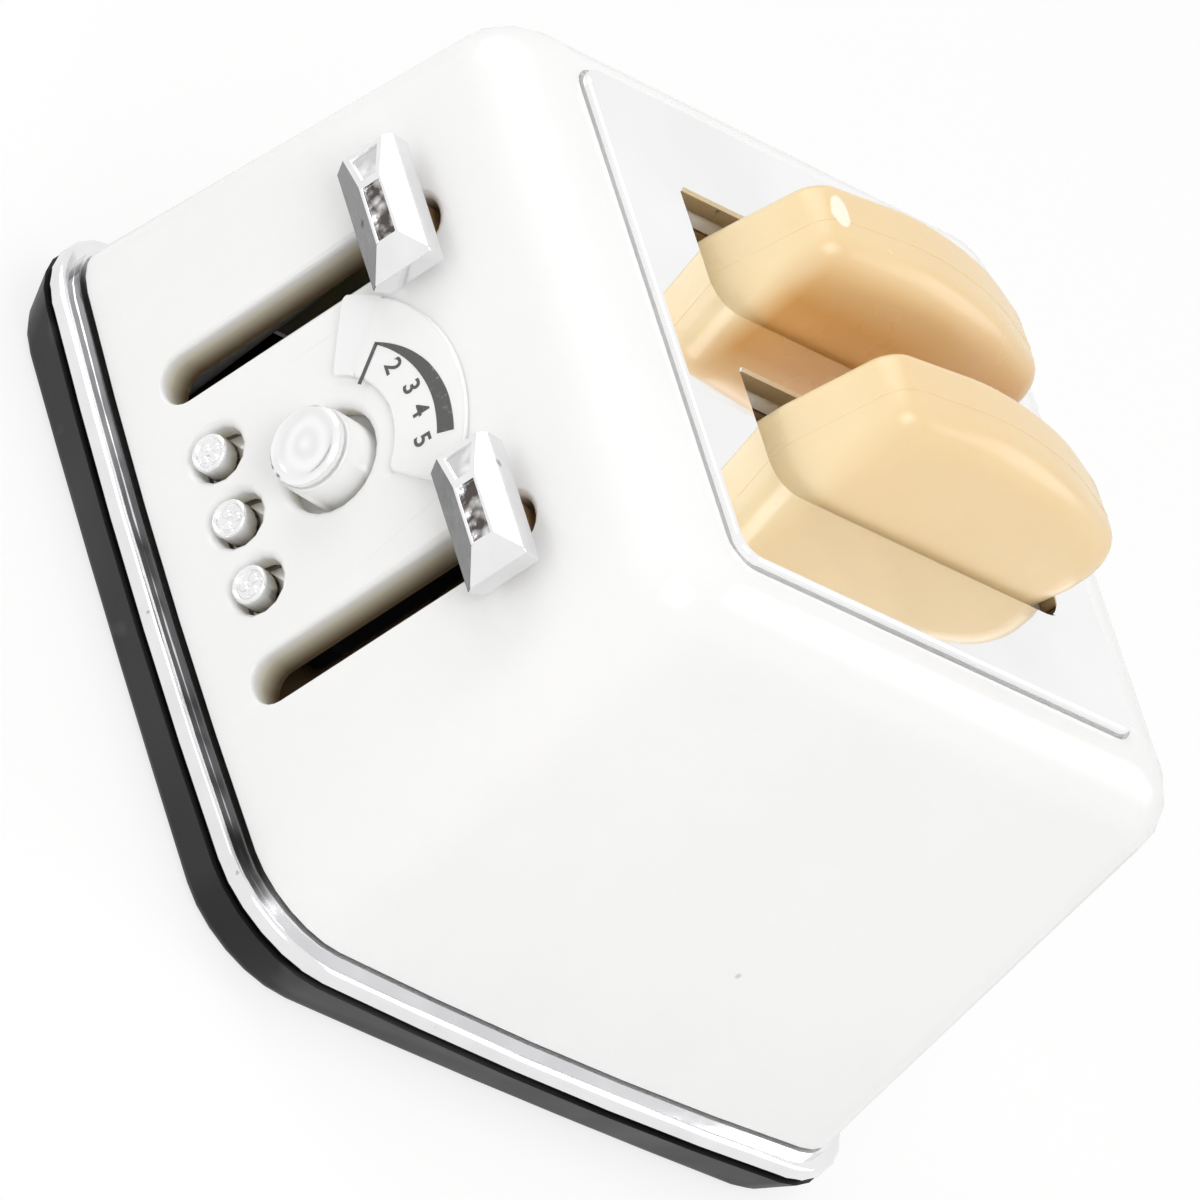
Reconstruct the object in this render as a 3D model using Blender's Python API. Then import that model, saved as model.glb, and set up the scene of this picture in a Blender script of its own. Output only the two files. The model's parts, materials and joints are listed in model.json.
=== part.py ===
"""Doll-size bread toaster: two bread wells, two lever slides, a browning dial and three buttons.

The front, with the levers, faces -Y. +Z is up and the origin is under the middle of the base.
All sizes are in metres.
"""

import math

import bmesh
import bpy
from mathutils import Matrix, Vector

# Clearances
SEAT_GAP = 0.0002
RUN_GAP = 0.00025
OVERRUN = 0.002
MERGE_GAP = 1e-7

# Body outline, worked outwards from the slot plate: the flat top, the shoulder, the flared walls down to
# the skirt, the ledge of the rim round it and the foot, which tucks in below
TOP_MARGIN_X = 0.00055
TOP_MARGIN_Y = 0.00065
TOP_CORNER = 0.0017
SHOULDER_REACH_X = 0.0031
SHOULDER_REACH_Y = 0.0041
SHOULDER_CORNER = 0.0035
SHOULDER_DROP = 0.0037
FLARE_X = 0.0024
FLARE_Y = 0.0015
SKIRT_CORNER = 0.0041
SIDE_BOW = 0.0009
LEDGE_X = 0.0009
LEDGE_Y = 0.0011
RIM_CORNER = 0.0051
TUCK_X = 0.0010
TUCK_Y = 0.00075
FOOT_CORNER = 0.0051
FOOT_BOW = 0.0003
BODY_HEIGHT = 0.0307

# Base tray
TRAY_HEIGHT = 0.0026
TRAY_WALL = 0.0013
TRAY_FLOOR = 0.0009
TRAY_EDGE_ROUND = 0.0006
FOOT_RIM = 0.0016
FOOT_RECESS = 0.0004
PAD_RADIUS = 0.0028
PAD_HEIGHT = 0.0011
SCREW_POCKET = 0.0010

# Chrome band
BAND_HEIGHT = 0.0014
BEAD_HEIGHT = 0.0010
BEAD_ROUND = 0.00035
BAND_NECK = 0.0008

# Housing shell
WALL = 0.0013
TOP_WALL = 0.0015
COLUMN_INSET_X = 0.0019
COLUMN_INSET_Y = 0.0027
COLUMN_RADIUS = 0.0021
COLUMN_DRAFT = 0.0003
MOUTH_ROUND = 0.0005

# Slot plate
PLATE_SIDE_MARGIN = 0.005925
PLATE_END_MARGIN = 0.00335
PLATE_CORNER = 0.0014
PLATE_PROUD = 0.0005
PLATE_THICKNESS = 0.0010
PLATE_EDGE_ROUND = 0.0003
BREAD_SLOT_WIDTH = 0.00715
BREAD_SLOT_BRIDGE = 0.00395
BREAD_SLOT_FRONT = 0.0100
BREAD_SLOT_BACK = 0.0116
BREAD_SLOT_OUTER_ROUND = 0.0014
BREAD_SLOT_INNER_ROUND = 0.0003
SLOT_EDGE_ROUND = 0.00015
STUD_INSET_X = 0.00255
STUD_INSET_Y = 0.00225
STUD_RADIUS = 0.0008
STUD_LENGTH = 0.0026

# Toast slices, seen from the side: how far the outline stays inside the ends of the bread slot, and
# heights over the plate
TOAST_PLAY = 0.00205
TOAST_SIDE_GAP = 0.000275
TOAST_INNER_EDGE = 0.0008
TOAST_OUTER_EDGE = 0.0018
TOAST_END_SHARE = 1.7
CRUST_FRONT_INSET = 0.0005
CRUST_BACK_INSET = 0.0026
CRUST_DROP = 0.0100
CRUST_CORNER = 0.0012
CRUST_BEND = 0.0040
CROWN_FRONT_LOW_INSET = 0.00025
CROWN_FRONT_LOW_DROP = 0.0008
CROWN_FRONT_HIGH_INSET = 0.0010
CROWN_FRONT_RISE = 0.0053
CROWN_FRONT_ROUND = 0.0017
CROWN_APEX_BACK = 0.0009
CROWN_APEX_RISE = 0.00775
CROWN_DOME = 0.0210
CROWN_BACK_HIGH_INSET = 0.0015
CROWN_BACK_RISE = 0.0058
CROWN_BACK_ROUND = 0.0024
CROWN_BACK_LOW_INSET = 0.0013
CROWN_BACK_LOW_RISE = 0.0030
CROWN_UNDER_ROUND = 0.0007
NECK_RISE = 0.0012
NECK_ROUND = 0.0008
TOAST_SHIFT_Y = 0.0011
TOAST_TIP_DEG = 8.5
RIGHT_TOAST_LIFT = 0.0000
LEFT_TOAST_DROP = 0.0010
FIN_WIDTH = 0.0012
FIN_HEIGHT = 0.0026
FIN_END_GAP = 0.0030

# Levers
LEVER_SLOT_WIDTH = 0.0027
LEVER_SLOT_MARGIN = 0.0007
SLOT_COLLAR_WIDTH = 0.0007
SLOT_COLLAR_DEEP = 0.0012
LEVER_DROP = 0.00255
LEVER_LOW = 0.0088
LEVER_LENGTH = 0.0072
LEVER_TALL = 0.0037
LEVER_STANDOFF = 0.0008
LEVER_DEEP = 0.0021
LEVER_CHAMFER = 0.0009
LEVER_LOW_CHAMFER = 0.00135
LEVER_BACK_CHAMFER = 0.0004
LEVER_TOP_DEEP = 0.00125
LEVER_FOOT_DEEP = 0.0005
LEVER_END_CHAMFER = 0.0015
LEVER_END_DROP = 0.00095
LEVER_WINDOW_LENGTH = 0.0036
LEVER_WINDOW_TALL = 0.0011
LEVER_WINDOW_DEEP = 0.00025
STEM_WIDTH = 0.0019
STEM_TALL = 0.0022
TONGUE_WIDTH = 0.0011
TONGUE_TALL = 0.0013
TONGUE_LENGTH = 0.0012

# Carriages and their guide rods
ROD_RADIUS = 0.00075
ROD_SETBACK = 0.0052
ROD_LOW = 0.0019
BUSH_RADIUS = 0.0017
BUSH_MARGIN = 0.0020
ARM_WIDTH = 0.0024
ARM_TALL = 0.0024
CRADLE_THICKNESS = 0.0012
CRADLE_END_GAP = 0.0023

# Inner frame with its two wells
WELL_WALL = 0.0009
WELL_MARGIN = 0.0002
WELL_SLOT_WIDTH = 0.0032
WELL_SLOT_DROP = 0.0016
FLANGE_THICKNESS = 0.0012
FLANGE_MARGIN = 0.0013
LUG_WIDTH = 0.0040
LUG_THICKNESS = 0.0012
SOCKET_RADIUS = 0.0016
SOCKET_HEIGHT = 0.0018

# Browning dial on the front face
DIAL_HEIGHT = 0.0145
DIAL_INNER = 0.0041
DIAL_DEEP = 0.0042
DIAL_FIRST_DEG = 141.0
DIAL_LAST_DEG = 47.0
DIAL_PROUD = 0.0003
DIAL_BEVEL = 0.00012
DIAL_ROUND = 0.0005
KNOB_HOLE_RADIUS = 0.00270
KNOB_HOLE_GAP = 0.0005
KNOB_TIP_ROUND = 0.0001
KNOB_PROUD = 0.0012
KNOB_FLANGE_LAP = 0.0004
KNOB_FLANGE_THICKNESS = 0.0008
KNOB_SHAFT_RADIUS = 0.0010
KNOB_CAP_INSET = 0.00005
KNOB_CAP_HEIGHT = 0.0005
KNOB_CAP_RIM = 0.0003
CLIP_RADIUS = 0.0021
CLIP_THICKNESS = 0.0005

# Buttons
BUTTON_SPACE_BETWEEN = 0.00056
BUTTON_DROP = 0.0056
BUTTON_RADIUS = 0.00118
BUTTON_HOLE_GAP = 0.00029
BUTTON_PROUD = 0.00035
BUTTON_TRAVEL = 0.0006
BUTTON_FLANGE_LAP = 0.00025
BUTTON_FLANGE_THICKNESS = 0.0005
BUTTON_DISH = 0.00015
PEG_RADIUS = 0.0005
SPRING_RADIUS = 0.00095
SPRING_WIRE = 0.00015
SPRING_TURNS = 4

# Bracket behind the dial
BRACKET_SETBACK = 0.0050
BRACKET_THICKNESS = 0.0012
BRACKET_CLEARANCE = 0.00045
BRACKET_BELOW = 0.0019
BRACKET_ABOVE = 0.0029
BRACKET_CORNER = 0.0012
BOSS_RADIUS = 0.0012
BOSS_GAP = 0.00025

# Screws
BASE_SCREW_RADIUS = 0.0008
BASE_SCREW_HEAD = 0.0016
BASE_SCREW_HEAD_HEIGHT = 0.0006
BASE_SCREW_LENGTH = 0.0085
BRACKET_SCREW_RADIUS = 0.0005
BRACKET_SCREW_HEAD = 0.0010
BRACKET_SCREW_HEAD_HEIGHT = 0.0005
BRACKET_SCREW_LENGTH = 0.0036
HEAD_CROWN_SHARE = 0.8
HEAD_SIDE_SHARE = 0.6
DRIVE_REACH_SHARE = 0.6
DRIVE_WIDTH = 0.0003
DRIVE_DEPTH = 0.0003

# Counts
CORNER_STEPS = 6
SIDE_STEPS = 5
ROUND_STEPS = 24
SMALL_STEPS = 14
SHOULDER_STEPS = 5
QUARTER_STEPS = 3
DIAL_STEPS = 18
SPRING_STEPS = 9

# Colours: red, green, blue, roughness, metallic
WHITE_PLASTIC = (0.90, 0.90, 0.88, 0.25, 0.0)
BLACK_PLASTIC = (0.035, 0.035, 0.037, 0.45, 0.0)
CHROME = (0.85, 0.85, 0.86, 0.08, 1.0)
BREAD_PLASTIC = (0.87, 0.70, 0.43, 0.40, 0.0)
BROWN_PLASTIC = (0.10, 0.06, 0.04, 0.50, 0.0)
STEEL = (0.60, 0.60, 0.61, 0.30, 1.0)

# Widths and depths worked out from the sizes above
bread_slot_spacing = BREAD_SLOT_WIDTH + BREAD_SLOT_BRIDGE
plate_width = bread_slot_spacing + BREAD_SLOT_WIDTH + 2 * PLATE_SIDE_MARGIN
plate_depth = 2 * (BREAD_SLOT_BACK + PLATE_END_MARGIN)
top_width = plate_width + 2 * TOP_MARGIN_X
top_depth = plate_depth + 2 * TOP_MARGIN_Y
shoulder_width = top_width + 2 * SHOULDER_REACH_X
shoulder_depth = top_depth + 2 * SHOULDER_REACH_Y
skirt_width = shoulder_width + 2 * FLARE_X
skirt_depth = shoulder_depth + 2 * FLARE_Y
rim_width = skirt_width + 2 * LEDGE_X
rim_depth = skirt_depth + 2 * LEDGE_Y
foot_width = rim_width - 2 * TUCK_X
foot_depth = rim_depth - 2 * TUCK_Y
band_thickness = LEDGE_X + WALL
column_x = shoulder_width / 2 - WALL - COLUMN_INSET_X
column_y = shoulder_depth / 2 - WALL - COLUMN_INSET_Y
stud_x = plate_width / 2 - STUD_INSET_X
stud_y = plate_depth / 2 - STUD_INSET_Y
toast_thickness = BREAD_SLOT_WIDTH - TOAST_PLAY
toast_shift = TOAST_PLAY / 2 - TOAST_SIDE_GAP
cradle_length = BREAD_SLOT_FRONT + BREAD_SLOT_BACK - 2 * CRADLE_END_GAP
fin_length = cradle_length - 2 * FIN_END_GAP
dial_outer = DIAL_INNER + DIAL_DEEP
knob_radius = KNOB_HOLE_RADIUS - KNOB_HOLE_GAP
knob_flange = KNOB_HOLE_RADIUS + KNOB_FLANGE_LAP
cap_radius = knob_radius - KNOB_TIP_ROUND - KNOB_CAP_INSET
button_hole = BUTTON_RADIUS + BUTTON_HOLE_GAP
button_flange = button_hole + BUTTON_FLANGE_LAP
button_spacing = 2 * button_flange + BUTTON_SPACE_BETWEEN

# The bosses stand clear of the knob's flange, the carriages' arms pass the bracket that the bosses
# carry, and the levers stand over the guide rods beside the arms
boss_x = knob_flange + BOSS_GAP + BOSS_RADIUS
bracket_width = 2 * (boss_x + BOSS_RADIUS)
arm_x = bracket_width / 2 + BRACKET_CLEARANCE + ARM_WIDTH / 2
lever_spacing = 2 * (arm_x + BUSH_RADIUS)

# Heights worked out from the sizes above
band_low = TRAY_HEIGHT + SEAT_GAP
band_high = band_low + BAND_HEIGHT
skirt_z = band_high + SEAT_GAP
shoulder_z = BODY_HEIGHT - SHOULDER_DROP
floor_top = FOOT_RECESS + TRAY_FLOOR
pad_top = floor_top + PAD_HEIGHT
screw_seat = FOOT_RECESS + SCREW_POCKET
plate_top = BODY_HEIGHT + PLATE_PROUD
plate_low = plate_top - PLATE_THICKNESS
top_inner = BODY_HEIGHT - TOP_WALL
flange_top = top_inner - SEAT_GAP
flange_low = flange_top - FLANGE_THICKNESS
lug_low = flange_low - LUG_THICKNESS
button_height = DIAL_HEIGHT - BUTTON_DROP
bracket_low = button_height - BRACKET_BELOW
bracket_high = DIAL_HEIGHT + BRACKET_ABOVE

# The front face leans back, and everything that slides inside leans with it
skirt_front = skirt_depth / 2 + SIDE_BOW
lean = math.atan((skirt_front - shoulder_depth / 2) / (shoulder_z - skirt_z))
ground_front = skirt_front + skirt_z * math.tan(lean)
face = Matrix.Translation((0, -ground_front, 0)) @ Matrix.Rotation(math.pi / 2 - lean, 4, 'X')

# At rest the levers stand high, with the bushes of the carriages just below the lugs
lever_rest = lug_low / math.cos(lean) - BUSH_MARGIN - LEVER_DROP
lever_travel = lever_rest - LEVER_LOW

# Turns an outline's (x, y) to a piece's (y, z), so that a stack of outlines runs along its X
turn_to_yz = Matrix(((0, 0, 1, 0), (1, 0, 0, 0), (0, 1, 0, 0), (0, 0, 0, 1)))


def clear_scene():
    for item in list(bpy.data.objects):
        bpy.data.objects.remove(item, do_unlink=True)


def make_material(name, finish):
    material = bpy.data.materials.new(name)
    material.use_nodes = True
    shader = material.node_tree.nodes['Principled BSDF']
    shader.inputs['Base Color'].default_value = (finish[0], finish[1], finish[2], 1)
    shader.inputs['Roughness'].default_value = finish[3]
    shader.inputs['Metallic'].default_value = finish[4]
    return material


def add_object(name, bm, finish, smooth_deg=35):
    """Close a bmesh into an object with outward faces, its own material and soft shading."""
    bmesh.ops.remove_doubles(bm, verts=bm.verts, dist=MERGE_GAP)
    bmesh.ops.recalc_face_normals(bm, faces=bm.faces)
    mesh = bpy.data.meshes.new(name)
    bm.to_mesh(mesh)
    bm.free()
    mesh.shade_smooth()
    mesh.set_sharp_from_angle(angle=math.radians(smooth_deg))
    item = bpy.data.objects.new(name, mesh)
    bpy.context.scene.collection.objects.link(item)
    item.data.materials.append(make_material(name, finish))
    return item


def combine(target, name, bm, operation):
    """Join or cut the target with a hidden helper body."""
    helper = add_object(target.name + '_' + name, bm, STEEL)
    helper.hide_render = True
    helper.display_type = 'WIRE'
    change = target.modifiers.new(name, 'BOOLEAN')
    change.operation = operation
    change.solver = 'EXACT'
    change.object = helper
    return helper


def cut(target, name, bm):
    return combine(target, name, bm, 'DIFFERENCE')


def join(target, name, bm):
    return combine(target, name, bm, 'UNION')


def hang_on(item, parent):
    """Parent the item and keep its place."""
    item.parent = parent
    item.matrix_parent_inverse = parent.matrix_world.inverted()


def joint_empty(name, matrix):
    empty = bpy.data.objects.new(name, None)
    bpy.context.scene.collection.objects.link(empty)
    empty.matrix_world = matrix
    bpy.context.view_layer.update()
    return empty


def rounded_outline(width, depth, corner, bow=0.0, corners=None, sides=1):
    """Rounded rectangle, anticlockwise, whose sides swell by the bow at their middles."""
    half_x, half_y = width / 2, depth / 2
    radii = corners or (corner, corner, corner, corner)
    signs = ((1, 1), (-1, 1), (-1, -1), (1, -1))
    points = []
    for index, (sign_x, sign_y) in enumerate(signs):
        radius = radii[index]
        centre = Vector((sign_x * (half_x - radius), sign_y * (half_y - radius)))
        for step in range(CORNER_STEPS + 1):
            angle = math.radians(90) * (index + step / CORNER_STEPS)
            points.append(centre + radius * Vector((math.cos(angle), math.sin(angle))))
        next_x, next_y = signs[(index + 1) % 4]
        next_radius = radii[(index + 1) % 4]
        next_centre = Vector((next_x * (half_x - next_radius), next_y * (half_y - next_radius)))
        angle = math.radians(90) * (index + 1)
        target = next_centre + next_radius * Vector((math.cos(angle), math.sin(angle)))
        start = points[-1]
        for step in range(1, sides):
            points.append(start.lerp(target, step / sides))
    swollen = []
    for point in points:
        share_x, share_y = point.x / half_x, point.y / half_y
        swell_x = bow * share_x * (1 - share_y ** 2)
        swell_y = bow * share_y * (1 - share_x ** 2)
        swollen.append(Vector((point.x + swell_x, point.y + swell_y)))
    return swollen


def circle_outline(radius, steps=ROUND_STEPS, centre=(0, 0)):
    points = []
    for step in range(steps):
        angle = 2 * math.pi * step / steps
        points.append(Vector((centre[0] + radius * math.cos(angle), centre[1] + radius * math.sin(angle))))
    return points


def quarter_round(radius):
    """Pairs of inset and drop along a quarter round, from the side that it starts on to the flat above."""
    pairs = []
    for step in range(QUARTER_STEPS + 1):
        angle = math.radians(90) * step / QUARTER_STEPS
        pairs.append((radius * (1 - math.cos(angle)), radius * (1 - math.sin(angle))))
    return pairs


def loft(rings, matrix=Matrix(), closed=False, bm=None):
    """Skin a stack of outlines with equal point counts; the ends are capped unless it closes on itself."""
    bm = bm or bmesh.new()
    layers = []
    for outline, height in rings:
        layers.append([bm.verts.new(matrix @ Vector((point.x, point.y, height))) for point in outline])
    count = len(layers[0])
    pairs = list(zip(layers, layers[1:]))
    if closed:
        pairs.append((layers[-1], layers[0]))
    for low, high in pairs:
        for index in range(count):
            following = (index + 1) % count
            bm.faces.new((low[index], low[following], high[following], high[index]))
    if not closed:
        bm.faces.new(layers[0])
        bm.faces.new(list(reversed(layers[-1])))
    bmesh.ops.recalc_face_normals(bm, faces=bm.faces)
    return bm


def block(low, high, matrix=Matrix(), bm=None):
    """Box between two corners, placed by a matrix."""
    low, high = Vector(low), Vector(high)
    made = bmesh.new()
    bmesh.ops.create_cube(made, size=1)
    size = high - low
    place = matrix @ Matrix.Translation((low + high) / 2) @ Matrix.Diagonal((*size, 1))
    bmesh.ops.transform(made, matrix=place, verts=made.verts)
    if bm is None:
        return made
    return append(bm, made)


def append(bm, other):
    mesh = bpy.data.meshes.new('piece')
    other.to_mesh(mesh)
    other.free()
    bm.from_mesh(mesh)
    bpy.data.meshes.remove(mesh)
    return bm


def turned(profile, matrix=Matrix(), steps=ROUND_STEPS):
    """Spin a profile of (radius, height) points, whose ends lie on the axis, about local Z."""
    bm = bmesh.new()
    verts = [bm.verts.new((radius, 0, height)) for radius, height in profile]
    edges = [bm.edges.new(pair) for pair in zip(verts, verts[1:])]
    bmesh.ops.spin(bm, geom=verts + edges, cent=(0, 0, 0), axis=(0, 0, 1), angle=2 * math.pi,
                   steps=steps, use_merge=True)
    bmesh.ops.remove_doubles(bm, verts=bm.verts, dist=MERGE_GAP)
    bmesh.ops.recalc_face_normals(bm, faces=bm.faces)
    bmesh.ops.transform(bm, matrix=matrix, verts=bm.verts)
    return bm


def rod_shape(radius, low, high, matrix=Matrix(), steps=ROUND_STEPS):
    return turned([(0, low), (radius, low), (radius, high), (0, high)], matrix, steps)


def on_face(u, v, n=0.0):
    """Frame on the front face: u across, v up the lean, n out of the wall."""
    return face @ Matrix.Translation((u, v, n))


def mouth_cut(outline_at):
    """Cutter through the front wall with a softly rounded mouth; outline_at(growth) gives its outline."""
    rings = [(outline_at(0), -WALL - SLOT_COLLAR_DEEP - OVERRUN)]
    rings += [(outline_at(growth), -depth) for growth, depth in quarter_round(MOUTH_ROUND)]
    rings.append((outline_at(MOUTH_ROUND), OVERRUN))
    return loft(rings)


def base_tray():
    def outline(share, inset):
        return rounded_outline(
            foot_width + (rim_width - foot_width) * share - 2 * inset,
            foot_depth + (rim_depth - foot_depth) * share - 2 * inset,
            FOOT_CORNER + (RIM_CORNER - FOOT_CORNER) * share - inset,
            FOOT_BOW + (SIDE_BOW - FOOT_BOW) * share, sides=SIDE_STEPS)

    inner_edge = TRAY_EDGE_ROUND + FOOT_RIM
    rings = [(outline(0, inner_edge), FOOT_RECESS), (outline(0, inner_edge), 0)]
    for inset, rise in reversed(quarter_round(TRAY_EDGE_ROUND)):
        rings.append((outline(rise / TRAY_HEIGHT, inset), rise))
    rings += [(outline(1, 0), TRAY_HEIGHT), (outline(1, TRAY_WALL), TRAY_HEIGHT),
              (outline(floor_top / TRAY_HEIGHT, TRAY_WALL), floor_top)]
    tray = add_object('base_tray', loft(rings), BLACK_PLASTIC)
    raised = bmesh.new()
    holes = bmesh.new()
    head_room = BASE_SCREW_HEAD + SEAT_GAP
    mid_floor = FOOT_RECESS + TRAY_FLOOR / 2
    for x in (-column_x, column_x):
        for y in (-column_y, column_y):
            place = Matrix.Translation((x, y, 0))
            append(raised, rod_shape(PAD_RADIUS, mid_floor, pad_top, place))
            append(holes, turned([(0, -OVERRUN), (head_room, -OVERRUN), (head_room, screw_seat),
                                  (BASE_SCREW_RADIUS + RUN_GAP, screw_seat),
                                  (BASE_SCREW_RADIUS + RUN_GAP, pad_top + OVERRUN),
                                  (0, pad_top + OVERRUN)], place, SMALL_STEPS))
    for side in (-1, 1):
        foot = rod_foot(side)
        place = Matrix.Translation((foot.x, foot.y, 0))
        append(raised, rod_shape(SOCKET_RADIUS, mid_floor, floor_top + SOCKET_HEIGHT, place, SMALL_STEPS))
        append(holes, rod_shape(ROD_RADIUS + SEAT_GAP, ROD_LOW - SEAT_GAP, SOCKET_HEIGHT + OVERRUN,
                                rod_axis(side), SMALL_STEPS))
    join(tray, 'raised', raised)
    cut(tray, 'holes', holes)
    return tray


def rod_axis(side):
    """Frame of a guide rod: local Z runs up the rod, from the ground's level."""
    return on_face(side * lever_spacing / 2, 0, -ROD_SETBACK) @ Matrix.Rotation(-math.pi / 2, 4, 'X')


def rod_foot(side):
    """World place of a guide rod's lower end."""
    return on_face(side * lever_spacing / 2, ROD_LOW, -ROD_SETBACK) @ Vector((0, 0, 0))


def chrome_band():
    def outline(inset):
        return rounded_outline(rim_width - 2 * inset, rim_depth - 2 * inset, RIM_CORNER - inset, SIDE_BOW,
                               sides=SIDE_STEPS)

    bead_top = band_low + BEAD_HEIGHT
    profile = [(inset, band_low + rise) for inset, rise in reversed(quarter_round(BEAD_ROUND))]
    profile += [(inset, bead_top - drop) for inset, drop in quarter_round(BEAD_ROUND)]
    profile += [(BAND_NECK, bead_top), (BAND_NECK, band_high),
                (band_thickness, band_high), (band_thickness, band_low)]
    bm = loft([(outline(inset), height) for inset, height in profile], closed=True)
    return add_object('chrome_band', bm, CHROME)


def shell_rings(inset, low, top):
    """Outlines of the housing from its skirt to its flat top, drawn in by the inset."""
    rings = []
    skirt = (skirt_width, skirt_depth, SKIRT_CORNER, SIDE_BOW)
    shoulder = (shoulder_width, shoulder_depth, SHOULDER_CORNER, 0.0)

    def on_wall(height):
        share = (height - skirt_z) / (shoulder_z - skirt_z)
        return [start + (end - start) * share for start, end in zip(skirt, shoulder)]

    def ring(width, depth, corner, bow, height):
        rings.append((rounded_outline(width - 2 * inset, depth - 2 * inset,
                                      max(corner - inset, TOP_CORNER / 2), bow, sides=SIDE_STEPS), height))

    ring(*on_wall(low), low)
    wall_top = shoulder_z
    ring(*on_wall(wall_top), wall_top)
    # The shoulder is a near-circular arc from the wall to the flat top
    edge = on_wall(top)
    weight = math.cos(math.radians(45) - lean / 2)
    for step in range(1, SHOULDER_STEPS + 1):
        t = step / SHOULDER_STEPS
        first, second, third = (1 - t) ** 2, 2 * weight * t * (1 - t), t ** 2
        total = first + second + third

        def blend(start, middle, end):
            return (first * start + second * middle + third * end) / total

        width = blend(shoulder[0], edge[0], top_width)
        depth = blend(shoulder[1], edge[1], top_depth)
        corner = blend(shoulder[2], (shoulder[2] + TOP_CORNER) / 2, TOP_CORNER)
        ring(width, depth, corner, 0.0, blend(wall_top, top, top))
    return rings


def bread_slot_outline(growth=0.0):
    """One bread slot: its left corners are nearly square and its right ones round."""
    length = BREAD_SLOT_FRONT + BREAD_SLOT_BACK
    tight = BREAD_SLOT_INNER_ROUND + growth
    wide = BREAD_SLOT_OUTER_ROUND + growth
    points = rounded_outline(BREAD_SLOT_WIDTH + 2 * growth, length + 2 * growth, wide,
                             corners=(wide, tight, tight, wide))
    shift = (BREAD_SLOT_BACK - BREAD_SLOT_FRONT) / 2
    return [Vector((point.x, point.y + shift)) for point in points]


def lever_slot_outline(growth=0.0):
    """Long slot that a lever's stem runs in, with round ends."""
    length = lever_travel + STEM_TALL + 2 * LEVER_SLOT_MARGIN
    return rounded_outline(LEVER_SLOT_WIDTH + 2 * growth, length + 2 * growth,
                           LEVER_SLOT_WIDTH / 2 + growth - SEAT_GAP / 2)


def lever_slot_place(side):
    return on_face(side * lever_spacing / 2, lever_rest - lever_travel / 2)


def housing():
    outer = shell_rings(0, skirt_z, BODY_HEIGHT)
    inner = shell_rings(WALL, skirt_z, top_inner)
    bm = loft(list(reversed(outer)) + inner)
    shell = add_object('housing', bm, WHITE_PLASTIC, smooth_deg=28)

    added = bmesh.new()
    cuts = bmesh.new()
    column_low = pad_top + SEAT_GAP
    for x in (-column_x, column_x):
        for y in (-column_y, column_y):
            place = Matrix.Translation((x, y, 0))
            append(added, turned([(0, column_low), (COLUMN_RADIUS, column_low),
                                  (COLUMN_RADIUS + COLUMN_DRAFT, shoulder_z), (0, shoulder_z)],
                                 place, SMALL_STEPS))
            append(cuts, rod_shape(BASE_SCREW_RADIUS + SEAT_GAP, column_low - OVERRUN,
                                   screw_seat + BASE_SCREW_LENGTH + SEAT_GAP, place, SMALL_STEPS))
    for side in (-1, 1):
        place = on_face(side * boss_x, DIAL_HEIGHT)
        append(added, rod_shape(BOSS_RADIUS, -BRACKET_SETBACK + SEAT_GAP, -WALL / 2, place, SMALL_STEPS))
        bore_end = -BRACKET_SETBACK + BRACKET_SCREW_LENGTH - BRACKET_THICKNESS
        append(cuts, rod_shape(BRACKET_SCREW_RADIUS + SEAT_GAP, -BRACKET_SETBACK - OVERRUN, bore_end,
                               place, SMALL_STEPS))
    append(added, dial_sector())
    # A collar deepens each lever slot behind the wall
    for side in (-1, 1):
        ring = loft([(lever_slot_outline(SLOT_COLLAR_WIDTH), -WALL - SLOT_COLLAR_DEEP),
                     (lever_slot_outline(SLOT_COLLAR_WIDTH), -WALL / 2)], lever_slot_place(side))
        append(added, ring)
    join(shell, 'columns_bosses_and_dial', added)

    pocket = rounded_outline(plate_width + 2 * SEAT_GAP, plate_depth + 2 * SEAT_GAP,
                             PLATE_CORNER + SEAT_GAP)
    append(cuts, loft([(pocket, plate_low - SEAT_GAP), (pocket, plate_top + OVERRUN)]))
    passages = bmesh.new()
    grown = bread_slot_outline(RUN_GAP)
    for side in (-1, 1):
        place = Matrix.Translation((side * bread_slot_spacing / 2, 0, 0))
        loft([(grown, top_inner - OVERRUN), (grown, plate_top)], place, bm=passages)
    for x in (-stud_x, stud_x):
        for y in (-stud_y, stud_y):
            hole = circle_outline(STUD_RADIUS + SEAT_GAP, SMALL_STEPS, (x, y))
            append(passages, loft([(hole, top_inner - OVERRUN), (hole, plate_top)]))

    for side in (-1, 1):
        piece = mouth_cut(lever_slot_outline)
        bmesh.ops.transform(piece, matrix=lever_slot_place(side), verts=piece.verts)
        append(cuts, piece)
    knob_hole = mouth_cut(lambda growth: circle_outline(KNOB_HOLE_RADIUS + growth))
    bmesh.ops.transform(knob_hole, matrix=on_face(0, DIAL_HEIGHT), verts=knob_hole.verts)
    append(cuts, knob_hole)
    for index in (-1, 0, 1):
        hole = mouth_cut(lambda growth: circle_outline(button_hole + growth, SMALL_STEPS))
        bmesh.ops.transform(hole, matrix=on_face(index * button_spacing, button_height), verts=hole.verts)
        append(cuts, hole)
    openings = cut(shell, 'openings', cuts)
    join(openings, 'passages', passages)
    return shell


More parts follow.
